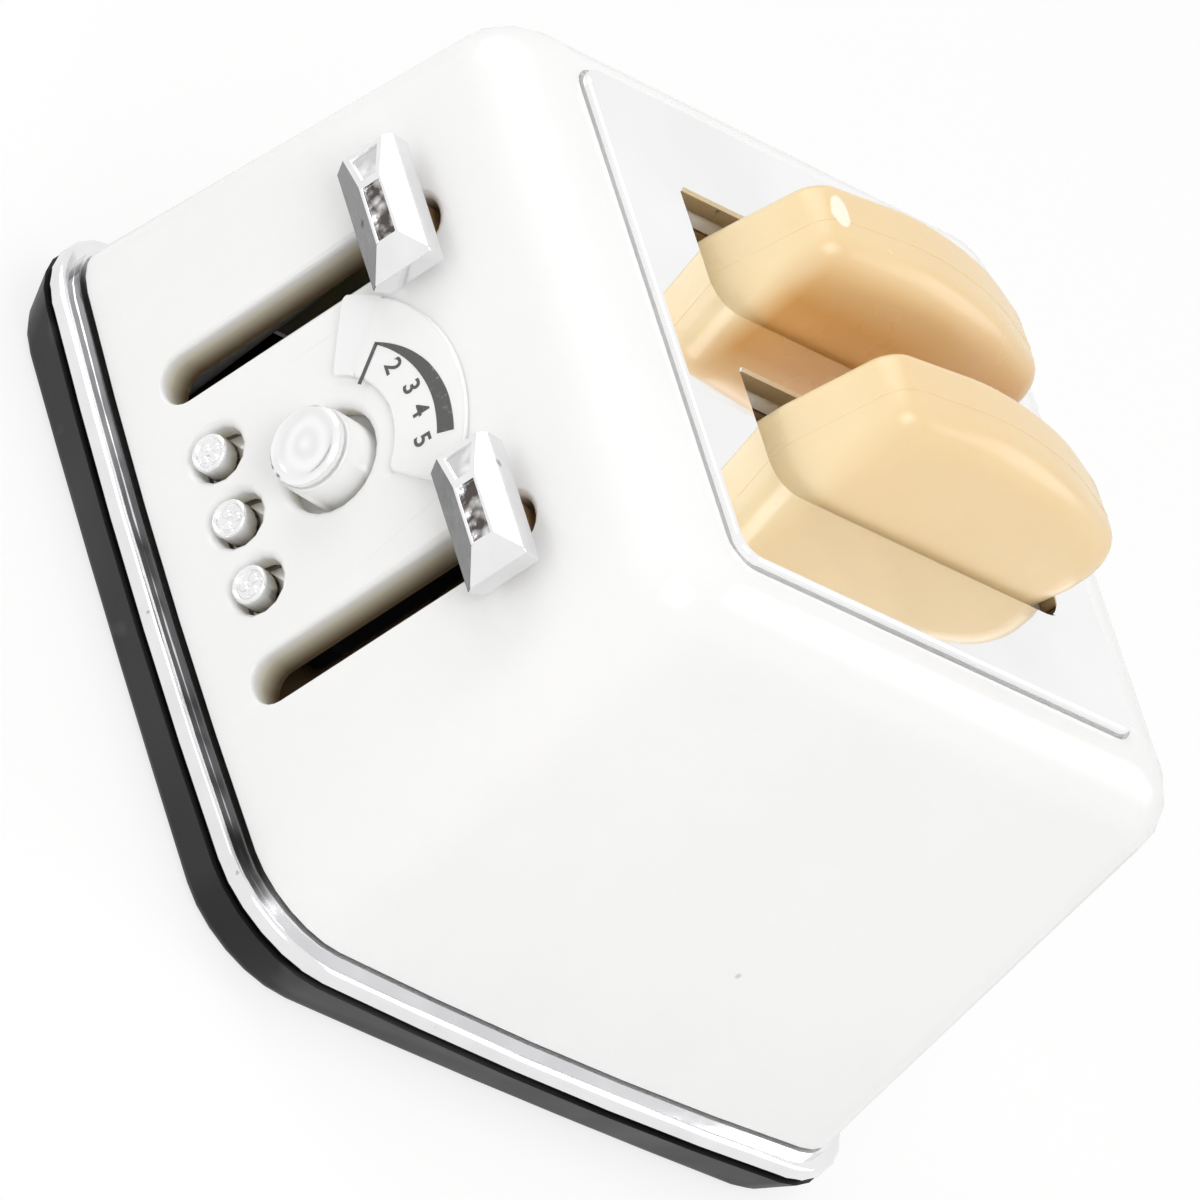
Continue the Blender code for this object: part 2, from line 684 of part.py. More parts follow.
def dial_sector():
    """Raised ring sector that carries the browning scale."""
    def outline(inset):
        points = []
        margin = math.degrees(inset / DIAL_INNER)
        first, last = DIAL_FIRST_DEG - margin, DIAL_LAST_DEG + margin
        for radius, start, end in ((dial_outer - inset, first, last), (DIAL_INNER + inset, last, first)):
            for step in range(DIAL_STEPS + 1):
                angle = math.radians(start + (end - start) * step / DIAL_STEPS)
                points.append(Vector((radius * math.cos(angle), radius * math.sin(angle))))
        return points

    bm = loft([(outline(0), -WALL / 2), (outline(0), DIAL_PROUD - DIAL_BEVEL),
               (outline(DIAL_BEVEL), DIAL_PROUD)])
    # Round the sector's four corners, along the upright edges between the outlines
    bm.verts.ensure_lookup_table()
    arc_points = DIAL_STEPS + 1
    corners = []
    for layer in (0, 1):
        for index in (0, arc_points - 1, arc_points, 2 * arc_points - 1):
            low = bm.verts[2 * arc_points * layer + index]
            high = bm.verts[2 * arc_points * (layer + 1) + index]
            corners.append(bm.edges.get((low, high)))
    bmesh.ops.bevel(bm, geom=corners, offset=DIAL_ROUND, offset_type='OFFSET', segments=3, profile=0.5,
                    affect='EDGES', clamp_overlap=True, material=-1)
    bmesh.ops.transform(bm, matrix=on_face(0, DIAL_HEIGHT), verts=bm.verts)
    return bm


def slot_plate():
    def outline(inset):
        return rounded_outline(plate_width - 2 * inset, plate_depth - 2 * inset, PLATE_CORNER - inset)

    rings = [(outline(0), plate_low)]
    rings += [(outline(inset), plate_top - drop) for inset, drop in quarter_round(PLATE_EDGE_ROUND)]
    plate = add_object('slot_plate', loft(rings), CHROME)
    studs = bmesh.new()
    for x in (-stud_x, stud_x):
        for y in (-stud_y, stud_y):
            append(studs, rod_shape(STUD_RADIUS, plate_low - STUD_LENGTH, plate_low + PLATE_THICKNESS / 2,
                                    Matrix.Translation((x, y, 0)), SMALL_STEPS))
    join(plate, 'studs', studs)
    slots = bmesh.new()
    narrow = bread_slot_outline()
    wide = bread_slot_outline(SLOT_EDGE_ROUND)
    for side in (-1, 1):
        place = Matrix.Translation((side * bread_slot_spacing / 2, 0, 0))
        loft([(narrow, plate_low - OVERRUN), (narrow, plate_top - SLOT_EDGE_ROUND),
              (wide, plate_top), (wide, plate_top + OVERRUN)], place, bm=slots)
    cut(plate, 'bread_slots', slots)
    return plate


def toast_frame(side):
    """Frame of a slice: its crust's middle at the plate's level, tipped back in the slot."""
    lift = RIGHT_TOAST_LIFT if side > 0 else -LEFT_TOAST_DROP
    x = side * bread_slot_spacing / 2 + toast_shift
    return (Matrix.Translation((x, TOAST_SHIFT_Y, plate_top + lift))
            @ Matrix.Rotation(-math.radians(TOAST_TIP_DEG), 4, 'X'))


def filleted(corners):
    """Closed outline through corners of (x, y, radius, steps), each rounded by its radius."""
    points = []
    for index, (x, y, radius, steps) in enumerate(corners):
        here = Vector((x, y))
        back = (Vector(corners[index - 1][:2]) - here).normalized()
        ahead = (Vector(corners[(index + 1) % len(corners)][:2]) - here).normalized()
        half_angle = back.angle(ahead) / 2
        centre = here + (back + ahead).normalized() * radius / math.sin(half_angle)
        start = here + back * radius / math.tan(half_angle) - centre
        end = here + ahead * radius / math.tan(half_angle) - centre
        first = math.atan2(start.y, start.x)
        turn = math.atan2(start.x * end.y - start.y * end.x, start.dot(end))
        for step in range(steps + 1):
            angle = first + turn * step / steps
            points.append(centre + radius * Vector((math.cos(angle), math.sin(angle))))
    return points


def toast_outline():
    """Side view of a slice: straight in front, domed on top, with a shoulder that overhangs at the back."""
    front = -BREAD_SLOT_FRONT
    back = BREAD_SLOT_BACK
    return filleted([
        (front + CRUST_FRONT_INSET, -CRUST_DROP, CRUST_CORNER, 3),
        (back - CRUST_BACK_INSET, -CRUST_DROP, CRUST_CORNER, 3),
        (back - CRUST_BACK_INSET, NECK_RISE, NECK_ROUND, 2),
        (back - CROWN_BACK_LOW_INSET, CROWN_BACK_LOW_RISE, CROWN_UNDER_ROUND, 3),
        (back - CROWN_BACK_HIGH_INSET, CROWN_BACK_RISE, CROWN_BACK_ROUND, 5),
        (CROWN_APEX_BACK, CROWN_APEX_RISE, CROWN_DOME, 6),
        (front + CROWN_FRONT_HIGH_INSET, CROWN_FRONT_RISE, CROWN_FRONT_ROUND, 6),
        (front + CROWN_FRONT_LOW_INSET, -CROWN_FRONT_LOW_DROP, CRUST_BEND, 2),
    ])


def toast(side, name):
    outline = toast_outline()
    lows = Vector((min(point.x for point in outline), min(point.y for point in outline)))
    highs = Vector((max(point.x for point in outline), max(point.y for point in outline)))
    middle = (lows + highs) / 2
    reach = (highs - lows) / 2

    def drawn_in(inset):
        # The ends are rounder in plan than the top is across the slice
        left = Vector((1 - inset * TOAST_END_SHARE / reach.x, 1 - inset / reach.y))
        return [middle + (point - middle) * left for point in outline]

    half = toast_thickness / 2
    rings = []
    for inset, drop in quarter_round(TOAST_INNER_EDGE):
        rings.append((drawn_in(drop), inset - half))
    for inset, drop in reversed(quarter_round(TOAST_OUTER_EDGE)):
        rings.append((drawn_in(drop), half - inset))
    place = toast_frame(side)
    slice_object = add_object(name, loft(rings, place @ turn_to_yz), BREAD_PLASTIC, smooth_deg=50)
    groove_x = FIN_WIDTH / 2 + SEAT_GAP
    groove_y = fin_length / 2 + SEAT_GAP
    groove = block((-groove_x, -groove_y, -CRUST_DROP - OVERRUN),
                   (groove_x, groove_y, -CRUST_DROP + FIN_HEIGHT + SEAT_GAP), place)
    cut(slice_object, 'fin_groove', groove)
    return slice_object


def carriage(side, name):
    """Slide with a bush on the guide rod, a cradle under the slice and a stem through the front wall."""
    frame = toast_frame(side)
    cradle_top = -CRUST_DROP - SEAT_GAP
    cradle_low = cradle_top - CRADLE_THICKNESS
    cradle_front = frame @ Vector((0, -cradle_length / 2 + ARM_WIDTH, (cradle_top + cradle_low) / 2))
    arm_high = cradle_front.z + CRADLE_THICKNESS / 2 - SEAT_GAP / 2
    arm_low = arm_high - ARM_TALL

    # The bush runs from the arm's height to the stem's, and a little past both
    arm_rest = (arm_low + arm_high) / 2 / math.cos(lean)
    bush_low = min(arm_rest, lever_rest) - BUSH_MARGIN
    bush_high = max(arm_rest, lever_rest) + BUSH_MARGIN
    body = add_object(name, rod_shape(BUSH_RADIUS, bush_low, bush_high, rod_axis(side)), BROWN_PLASTIC)

    stem = on_face(side * lever_spacing / 2, lever_rest)
    tongue_end = LEVER_STANDOFF + TONGUE_LENGTH
    join(body, 'stem', block((-STEM_WIDTH / 2, -STEM_TALL / 2, -ROD_SETBACK),
                             (STEM_WIDTH / 2, STEM_TALL / 2, LEVER_STANDOFF - SEAT_GAP), stem))
    join(body, 'tongue', block((-TONGUE_WIDTH / 2, -TONGUE_TALL / 2, -WALL),
                               (TONGUE_WIDTH / 2, TONGUE_TALL / 2, tongue_end), stem))

    half_width = BREAD_SLOT_WIDTH / 2 - RUN_GAP
    join(body, 'cradle', block((-toast_shift - half_width, -cradle_length / 2, cradle_low),
                               (-toast_shift + half_width, cradle_length / 2, cradle_top), frame))
    join(body, 'fin', block((-FIN_WIDTH / 2, -fin_length / 2, (cradle_top + cradle_low) / 2),
                            (FIN_WIDTH / 2, fin_length / 2, -CRUST_DROP + FIN_HEIGHT), frame))

    bush_y = (rod_axis(side) @ Vector((0, 0, arm_rest))).y
    join(body, 'arm', block((side * arm_x - ARM_WIDTH / 2, bush_y, arm_low),
                            (side * arm_x + ARM_WIDTH / 2, cradle_front.y, arm_high)))
    cut(body, 'rod_bore', rod_shape(ROD_RADIUS + RUN_GAP, bush_low - OVERRUN, bush_high + OVERRUN,
                                    rod_axis(side), SMALL_STEPS))
    return body


def guide_rod(side, name):
    rod_high = (flange_low - SEAT_GAP) / math.cos(lean)
    return add_object(name, rod_shape(ROD_RADIUS, ROD_LOW, rod_high, rod_axis(side), SMALL_STEPS), STEEL)


def lever_knob(side, name):
    """Faceted bar with a sunk window on its front, pushed on the carriage's tongue."""
    near = LEVER_STANDOFF
    far = LEVER_STANDOFF + LEVER_DEEP
    tall = LEVER_TALL / 2

    def section(drop):
        return [
            Vector((-tall + LEVER_BACK_CHAMFER, near)),
            Vector((tall, near)),
            Vector((tall, near + LEVER_TOP_DEEP)),
            Vector((tall - LEVER_CHAMFER, far - drop)),
            Vector((-tall + LEVER_LOW_CHAMFER, far - drop)),
            Vector((-tall, near + LEVER_FOOT_DEEP)),
        ]

    half = LEVER_LENGTH / 2
    flat = half - LEVER_END_CHAMFER
    ends = section(LEVER_END_DROP)
    # The section's (x, y) are the face's v and n, and the stack runs along u
    place = on_face(side * lever_spacing / 2, lever_rest)
    bm = loft([(ends, -half), (section(0), -flat), (section(0), flat), (ends, half)], place @ turn_to_yz)
    knob = add_object(name, bm, CHROME, smooth_deg=20)
    middle = (LEVER_LOW_CHAMFER - LEVER_CHAMFER) / 2
    window_low = (-LEVER_WINDOW_LENGTH / 2, middle - LEVER_WINDOW_TALL / 2, far - LEVER_WINDOW_DEEP)
    window_high = (LEVER_WINDOW_LENGTH / 2, middle + LEVER_WINDOW_TALL / 2, far + OVERRUN)
    cut(knob, 'window', block(window_low, window_high, place))
    hole_x = TONGUE_WIDTH / 2 + SEAT_GAP
    hole_y = TONGUE_TALL / 2 + SEAT_GAP
    cut(knob, 'tongue_hole', block((-hole_x, -hole_y, near - OVERRUN),
                                   (hole_x, hole_y, near + TONGUE_LENGTH + SEAT_GAP), place))
    return knob


def inner_frame():
    """Two bread wells under one flange, with a lug that holds each guide rod's upper end."""
    well_half = BREAD_SLOT_WIDTH / 2 + WELL_MARGIN
    lug_front = (on_face(0, lug_low / math.cos(lean), -ROD_SETBACK + BUSH_RADIUS) @ Vector((0, 0, 0))).y
    half_x, half_y = stud_x + FLANGE_MARGIN, stud_y + FLANGE_MARGIN
    frame = add_object('inner_frame', block((-half_x, -half_y, flange_low), (half_x, half_y, flange_top)),
                       BROWN_PLASTIC)
    for side in (-1, 1):
        side_name = 'right' if side > 0 else 'left'
        lever_x = side * lever_spacing / 2
        join(frame, side_name + '_lug', block((lever_x - LUG_WIDTH / 2, lug_front, lug_low),
                                              (lever_x + LUG_WIDTH / 2, -BREAD_SLOT_FRONT,
                                               flange_low + FLANGE_THICKNESS / 2)))
    # The wells lean with the front face, so the slices slide square to their cradles
    drop = math.tan(lean)
    cavities = bmesh.new()
    for side in (-1, 1):
        centre = side * bread_slot_spacing / 2
        side_name = 'right' if side > 0 else 'left'

        def section(height, margin):
            shift = -(plate_top - height) * drop
            front = -BREAD_SLOT_FRONT - WELL_MARGIN - margin + shift
            back = BREAD_SLOT_BACK + WELL_MARGIN + margin + shift
            left, right = centre - well_half - margin, centre + well_half + margin
            corners = ((left, front), (right, front), (right, back), (left, back))
            return [Vector(corner) for corner in corners]

        low = floor_top + SEAT_GAP
        join(frame, side_name + '_well', loft([(section(low, WELL_WALL), low),
                                               (section(flange_top, WELL_WALL), flange_top)]))
        below, above = low - OVERRUN, flange_top + OVERRUN
        append(cavities, loft([(section(below, 0), below), (section(above, 0), above)]))
    cut(frame, 'cavities', cavities)
    slots = bmesh.new()
    slot_front = -BREAD_SLOT_FRONT - WELL_MARGIN - plate_top * drop - WELL_WALL - OVERRUN
    slot_back = -BREAD_SLOT_FRONT + OVERRUN / 2
    for side in (-1, 1):
        append(slots, block((side * arm_x - WELL_SLOT_WIDTH / 2, slot_front, -OVERRUN),
                            (side * arm_x + WELL_SLOT_WIDTH / 2, slot_back, lug_low - WELL_SLOT_DROP)))
    cut(frame, 'arm_slots', slots)
    bores = bmesh.new()
    for side in (-1, 1):
        append(bores, rod_shape(ROD_RADIUS + SEAT_GAP, lug_low - OVERRUN, flange_top + OVERRUN,
                                rod_axis(side), SMALL_STEPS))
    for x in (-stud_x, stud_x):
        for y in (-stud_y, stud_y):
            append(bores, rod_shape(STUD_RADIUS + SEAT_GAP, flange_low - OVERRUN, flange_top + OVERRUN,
                                    Matrix.Translation((x, y, 0)), SMALL_STEPS))
    cut(frame, 'rod_and_stud_bores', bores)
    return frame


def timer_knob():
    place = on_face(0, DIAL_HEIGHT)
    flange_front = -WALL - RUN_GAP
    flange_back = flange_front - KNOB_FLANGE_THICKNESS
    shaft_end = -BRACKET_SETBACK - BRACKET_THICKNESS - 2 * SEAT_GAP - CLIP_THICKNESS
    knob = turned([
        (0, shaft_end), (KNOB_SHAFT_RADIUS, shaft_end), (KNOB_SHAFT_RADIUS, flange_back),
        (knob_flange, flange_back), (knob_flange, flange_front),
        (knob_radius, flange_front), (knob_radius, KNOB_PROUD - KNOB_TIP_ROUND),
        (knob_radius - KNOB_TIP_ROUND, KNOB_PROUD), (0, KNOB_PROUD)], place)
    return add_object('timer_knob', knob, WHITE_PLASTIC)


def timer_knob_cap():
    """Plated disc on the knob, with a raised rim round a shallow dish."""
    low = KNOB_PROUD + SEAT_GAP
    high = low + KNOB_CAP_HEIGHT
    round_off = KNOB_CAP_RIM / 2
    inner = cap_radius - KNOB_CAP_RIM
    cap = turned([
        (0, low), (cap_radius, low), (cap_radius, high - round_off),
        (cap_radius - round_off, high), (inner, high), (inner - round_off, high - round_off),
        (inner / 2, high - round_off / 2), (0, high)], on_face(0, DIAL_HEIGHT))
    return add_object('timer_knob_cap', cap, CHROME)


def knob_clip():
    """Push-on ring that keeps the knob's shaft in the bracket."""
    place = on_face(0, DIAL_HEIGHT)
    front = -BRACKET_SETBACK - BRACKET_THICKNESS - SEAT_GAP
    back = front - CLIP_THICKNESS
    inner = KNOB_SHAFT_RADIUS + SEAT_GAP
    outlines = [(circle_outline(CLIP_RADIUS), back), (circle_outline(CLIP_RADIUS), front),
                (circle_outline(inner), front), (circle_outline(inner), back)]
    return add_object('knob_clip', loft(outlines, place, closed=True), STEEL)


def button(index, name):
    place = on_face(index * button_spacing, button_height)
    flange_front = -WALL - RUN_GAP
    flange_back = flange_front - BUTTON_FLANGE_THICKNESS
    # The peg meets the bracket at the end of the button's travel
    peg_end = -BRACKET_SETBACK + BUTTON_TRAVEL + SEAT_GAP
    rim = BUTTON_DISH
    pin = turned([
        (0, peg_end), (PEG_RADIUS, peg_end), (PEG_RADIUS, flange_back),
        (button_flange, flange_back), (button_flange, flange_front),
        (BUTTON_RADIUS, flange_front), (BUTTON_RADIUS, BUTTON_PROUD - rim),
        (BUTTON_RADIUS - rim, BUTTON_PROUD), (BUTTON_RADIUS - 2 * rim, BUTTON_PROUD),
        (BUTTON_RADIUS - 3 * rim, BUTTON_PROUD - rim), (0, BUTTON_PROUD - rim)], place, SMALL_STEPS)
    return add_object(name, pin, CHROME)


def button_spring(index, name):
    """Coil spring between a button's flange and the bracket."""
    front = -WALL - RUN_GAP - BUTTON_FLANGE_THICKNESS - SEAT_GAP - SPRING_WIRE
    back = -BRACKET_SETBACK + SEAT_GAP + SPRING_WIRE
    curve = bpy.data.curves.new(name, 'CURVE')
    curve.dimensions = '3D'
    curve.bevel_depth = SPRING_WIRE
    curve.bevel_resolution = 1
    curve.use_fill_caps = True
    count = SPRING_TURNS * SPRING_STEPS + 1
    spline = curve.splines.new('POLY')
    spline.points.add(count - 1)
    place = on_face(index * button_spacing, button_height)
    for step in range(count):
        angle = 2 * math.pi * step / SPRING_STEPS
        height = back + (front - back) * step / (count - 1)
        point = place @ Vector((SPRING_RADIUS * math.cos(angle), SPRING_RADIUS * math.sin(angle), height))
        spline.points[step].co = (*point, 1)
    curve.materials.append(make_material(name, STEEL))
    item = bpy.data.objects.new(name, curve)
    bpy.context.scene.collection.objects.link(item)
    return item


def dial_bracket():
    """Plate behind the dial that carries the knob's shaft and backs the button springs."""
    middle = (bracket_low + bracket_high) / 2
    place = on_face(0, middle)
    outline = rounded_outline(bracket_width, bracket_high - bracket_low, BRACKET_CORNER)
    bracket = add_object('dial_bracket', loft([(outline, -BRACKET_SETBACK - BRACKET_THICKNESS),
                                               (outline, -BRACKET_SETBACK)], place), BLACK_PLASTIC)
    low = -BRACKET_SETBACK - BRACKET_THICKNESS - OVERRUN
    high = -BRACKET_SETBACK + OVERRUN
    holes = rod_shape(KNOB_SHAFT_RADIUS + RUN_GAP, low, high, on_face(0, DIAL_HEIGHT))
    for side in (-1, 1):
        append(holes, rod_shape(BRACKET_SCREW_RADIUS + SEAT_GAP, low, high,
                                on_face(side * boss_x, DIAL_HEIGHT), SMALL_STEPS))
    cut(bracket, 'holes', holes)
    return bracket


def screw_shape(place, radius, head_radius, head_height, length, steps=SMALL_STEPS):
    """Pan-head screw pointing along local +Z, with its head's underside at the origin."""
    return turned([
        (0, -head_height), (head_radius * HEAD_CROWN_SHARE, -head_height),
        (head_radius, -head_height * HEAD_SIDE_SHARE),
        (head_radius, 0), (radius, 0), (radius, length - radius), (0, length)], place, steps)


def screw(name, place, radius, head_radius, head_height, length):
    item = add_object(name, screw_shape(place, radius, head_radius, head_height, length), STEEL)
    half = DRIVE_WIDTH / 2
    reach = head_radius * DRIVE_REACH_SHARE
    cut(item, 'drive', block((-reach, -half, -head_height - DRIVE_DEPTH),
                             (reach, half, -head_height + DRIVE_DEPTH), place))
    return item


def base_screws():
    seat = screw_seat - SEAT_GAP
    for y, end in ((-column_y, 'front'), (column_y, 'rear')):
        for x, word in ((-column_x, 'left'), (column_x, 'right')):
            screw(end + '_' + word + '_base_screw', Matrix.Translation((x, y, seat)), BASE_SCREW_RADIUS,
                  BASE_SCREW_HEAD, BASE_SCREW_HEAD_HEIGHT, BASE_SCREW_LENGTH)


def bracket_screws():
    seat = -BRACKET_SETBACK - BRACKET_THICKNESS - SEAT_GAP
    for side, word in ((-1, 'left'), (1, 'right')):
        screw(word + '_bracket_screw', on_face(side * boss_x, DIAL_HEIGHT, seat), BRACKET_SCREW_RADIUS,
              BRACKET_SCREW_HEAD, BRACKET_SCREW_HEAD_HEIGHT, BRACKET_SCREW_LENGTH)


def build():
    clear_scene()
    base_tray()
    chrome_band()
    housing()
    slot_plate()
    inner_frame()
    base_screws()
    dial_bracket()
    bracket_screws()

    for side, word in ((-1, 'left'), (1, 'right')):
        guide_rod(side, word + '_guide_rod')
        slider = joint_empty(word + '_lever_joint', on_face(side * lever_spacing / 2, lever_rest))
        for piece in (carriage(side, word + '_carriage'), toast(side, word + '_toast'),
                      lever_knob(side, word + '_lever_knob')):
            hang_on(piece, slider)

    turner = joint_empty('timer_joint', on_face(0, DIAL_HEIGHT))
    for piece in (timer_knob(), timer_knob_cap(), knob_clip()):
        hang_on(piece, turner)

    for index, word in ((-1, 'left'), (0, 'middle'), (1, 'right')):
        button_spring(index, word + '_button_spring')
        presser = joint_empty(word + '_button_joint', on_face(index * button_spacing, button_height))
        hang_on(button(index, word + '_button'), presser)


build()
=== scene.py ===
import json
import math

import bmesh
import bpy
from mathutils import Matrix, Vector

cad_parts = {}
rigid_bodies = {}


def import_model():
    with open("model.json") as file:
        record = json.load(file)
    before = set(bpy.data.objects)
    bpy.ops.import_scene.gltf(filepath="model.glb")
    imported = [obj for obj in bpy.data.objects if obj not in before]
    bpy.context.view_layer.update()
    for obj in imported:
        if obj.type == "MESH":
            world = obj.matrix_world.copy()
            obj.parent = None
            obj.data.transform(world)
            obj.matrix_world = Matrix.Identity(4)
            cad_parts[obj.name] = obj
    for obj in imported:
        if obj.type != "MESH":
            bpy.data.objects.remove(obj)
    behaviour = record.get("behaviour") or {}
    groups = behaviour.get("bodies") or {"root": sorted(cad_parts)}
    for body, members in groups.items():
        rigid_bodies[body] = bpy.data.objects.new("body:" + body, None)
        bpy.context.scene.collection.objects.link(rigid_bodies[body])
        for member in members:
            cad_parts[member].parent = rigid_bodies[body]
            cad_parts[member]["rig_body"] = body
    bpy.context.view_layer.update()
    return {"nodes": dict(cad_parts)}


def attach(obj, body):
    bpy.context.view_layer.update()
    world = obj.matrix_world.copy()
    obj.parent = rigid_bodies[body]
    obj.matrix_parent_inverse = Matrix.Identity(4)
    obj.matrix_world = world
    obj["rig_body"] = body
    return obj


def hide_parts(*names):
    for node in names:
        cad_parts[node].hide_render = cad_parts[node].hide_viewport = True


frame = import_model()
nodes = frame["nodes"]
print("frame loaded:", len(nodes), "nodes")

mm = 0.001

# The picture is taken from high over the right front corner, with the lens turned on its side
camera = {
    "place": (417.056, -523.390, 336.921),   # mm
    "right": (0.2523, 0.6460, 0.7204),
    "up": (-0.7885, -0.2944, 0.5401),
    "back": (0.5610, -0.7043, 0.4351),
    "lens": 458.6,
    "sensor": 36.0,
}

lights = {
    "worldStrength": 0.53,
    "worldTint": (1.0, 0.995, 0.985),
    "keyPlace": (0.30, -0.26, 0.42), "keySize": 0.30, "keyPower": 1.38,
    "fillPlace": (-0.42, -0.20, 0.30), "fillSize": 0.40, "fillPower": 0.95,
    "backPlace": (0.12, 0.42, 0.36), "backSize": 0.30, "backPower": 0.56,
}

floorSheet = {"size": 1.6, "colour": (0.93, 0.93, 0.925), "glow": 0.80, "roughness": 0.6}

# The front wall leans back: u runs across it, v up it and n out of it
frontWall = {"groundFront": 22.5673, "leanDeg": 6.0618}
lean = math.radians(frontWall["leanDeg"])
frontFace = (Matrix.Translation((0, -frontWall["groundFront"] * mm, 0))
             @ Matrix.Rotation(math.pi / 2 - lean, 4, "X"))


def onFront(u, v, n=0.0):
    return frontFace @ Matrix.Translation(Vector((u, v, n)) * mm)


def makeCamera():
    data = bpy.data.cameras.new("camera")
    data.sensor_fit = "AUTO"
    data.sensor_width = camera["sensor"]
    data.lens = camera["lens"]
    data.clip_start = 0.01
    data.clip_end = 10
    item = bpy.data.objects.new("camera", data)
    bpy.context.scene.collection.objects.link(item)
    axes = [Vector(camera[name]) for name in ("right", "up", "back")]
    turn = Matrix([list(row) for row in zip(*axes)]).to_4x4()
    item.matrix_world = Matrix.Translation(Vector(camera["place"]) * mm) @ turn
    bpy.context.scene.camera = item


def makeAreaLight(name, place, size, power):
    data = bpy.data.lights.new(name, "AREA")
    data.shape = "SQUARE"
    data.size = size
    data.energy = power
    item = bpy.data.objects.new(name, data)
    bpy.context.scene.collection.objects.link(item)
    aim = Vector((0, 0, 0.015)) - Vector(place)
    item.matrix_world = Matrix.Translation(place) @ aim.to_track_quat("-Z", "Y").to_matrix().to_4x4()


def makeWorld():
    world = bpy.data.worlds.new("studio")
    bpy.context.scene.world = world
    world.use_nodes = True
    tree = world.node_tree
    tree.nodes.clear()
    output = tree.nodes.new("ShaderNodeOutputWorld")
    path = tree.nodes.new("ShaderNodeLightPath")
    soft = tree.nodes.new("ShaderNodeBackground")
    soft.inputs["Color"].default_value = (*lights["worldTint"], 1)
    soft.inputs["Strength"].default_value = lights["worldStrength"]
    white = tree.nodes.new("ShaderNodeBackground")
    white.inputs["Color"].default_value = (1, 1, 1, 1)
    white.inputs["Strength"].default_value = 1
    seen = tree.nodes.new("ShaderNodeMath")
    seen.operation = "MAXIMUM"
    mix = tree.nodes.new("ShaderNodeMixShader")
    tree.links.new(path.outputs["Is Camera Ray"], seen.inputs[0])
    tree.links.new(path.outputs["Is Glossy Ray"], seen.inputs[1])
    tree.links.new(seen.outputs[0], mix.inputs[0])
    tree.links.new(soft.outputs[0], mix.inputs[1])
    tree.links.new(white.outputs[0], mix.inputs[2])
    tree.links.new(mix.outputs[0], output.inputs["Surface"])


bpy.context.scene.view_settings.view_transform = "Standard"
makeCamera()
makeWorld()
for lamp in ("key", "fill", "back"):
    makeAreaLight(lamp, lights[lamp + "Place"], lights[lamp + "Size"], lights[lamp + "Power"])
print("camera and lights ready")


# Node helpers, which take a number, a colour or a socket for each value
def feed(tree, value, socket):
    if isinstance(value, tuple):
        socket.default_value = (*value, 1) if len(socket.default_value) == 4 and len(value) == 3 else value
    elif isinstance(value, (int, float)):
        socket.default_value = value
    else:
        tree.links.new(value, socket)


def addMath(tree, operation, first, second=None, clamp=False):
    node = tree.nodes.new("ShaderNodeMath")
    node.operation = operation
    node.use_clamp = clamp
    feed(tree, first, node.inputs[0])
    if second is not None:
        feed(tree, second, node.inputs[1])
    return node.outputs[0]


def addNoise(tree, vector, scale, detail=2.0, roughness=0.5):
    node = tree.nodes.new("ShaderNodeTexNoise")
    for label, value in (("Vector", vector), ("Scale", scale), ("Detail", detail), ("Roughness", roughness)):
        feed(tree, value, node.inputs[label])
    return node.outputs["Fac"]


def addRange(tree, value, low, high, toLow=0.0, toHigh=1.0):
    node = tree.nodes.new("ShaderNodeMapRange")
    labels = ("Value", "From Min", "From Max", "To Min", "To Max")
    for label, number in zip(labels, (value, low, high, toLow, toHigh)):
        feed(tree, number, node.inputs[label])
    return node.outputs["Result"]


def addMix(tree, factor, first, second):
    node = tree.nodes.new("ShaderNodeMix")
    node.data_type = "RGBA"
    for index, value in ((0, factor), (6, first), (7, second)):
        feed(tree, value, node.inputs[index])
    return node.outputs[2]


def addBump(tree, height, strength, distance):
    node = tree.nodes.new("ShaderNodeBump")
    node.inputs["Strength"].default_value = strength
    node.inputs["Distance"].default_value = distance * mm
    feed(tree, height, node.inputs["Height"])
    return node.outputs["Normal"]


def addStretch(tree, vector, scale, turn=(0, 0, 0), shift=(0, 0, 0)):
    node = tree.nodes.new("ShaderNodeMapping")
    node.inputs["Scale"].default_value = scale
    node.inputs["Rotation"].default_value = turn
    node.inputs["Location"].default_value = shift
    tree.links.new(vector, node.inputs["Vector"])
    return node.outputs["Vector"]


def addPlace(tree):
    return tree.nodes.new("ShaderNodeTexCoord").outputs["Object"]


def newGroup(name, inputs, outputs):
    group = bpy.data.node_groups.new(name, "ShaderNodeTree")
    for label, value in inputs:
        socket = group.interface.new_socket(label, in_out="INPUT", socket_type="NodeSocketFloat")
        socket.default_value = value
    for label in outputs:
        group.interface.new_socket(label, in_out="OUTPUT", socket_type="NodeSocketFloat")
    return group, group.nodes.new("NodeGroupInput"), group.nodes.new("NodeGroupOutput")


def useGroup(tree, group, **values):
    node = tree.nodes.new("ShaderNodeGroup")
    node.node_tree = group
    for label, value in values.items():
        node.inputs[label].default_value = value
    return node.outputs


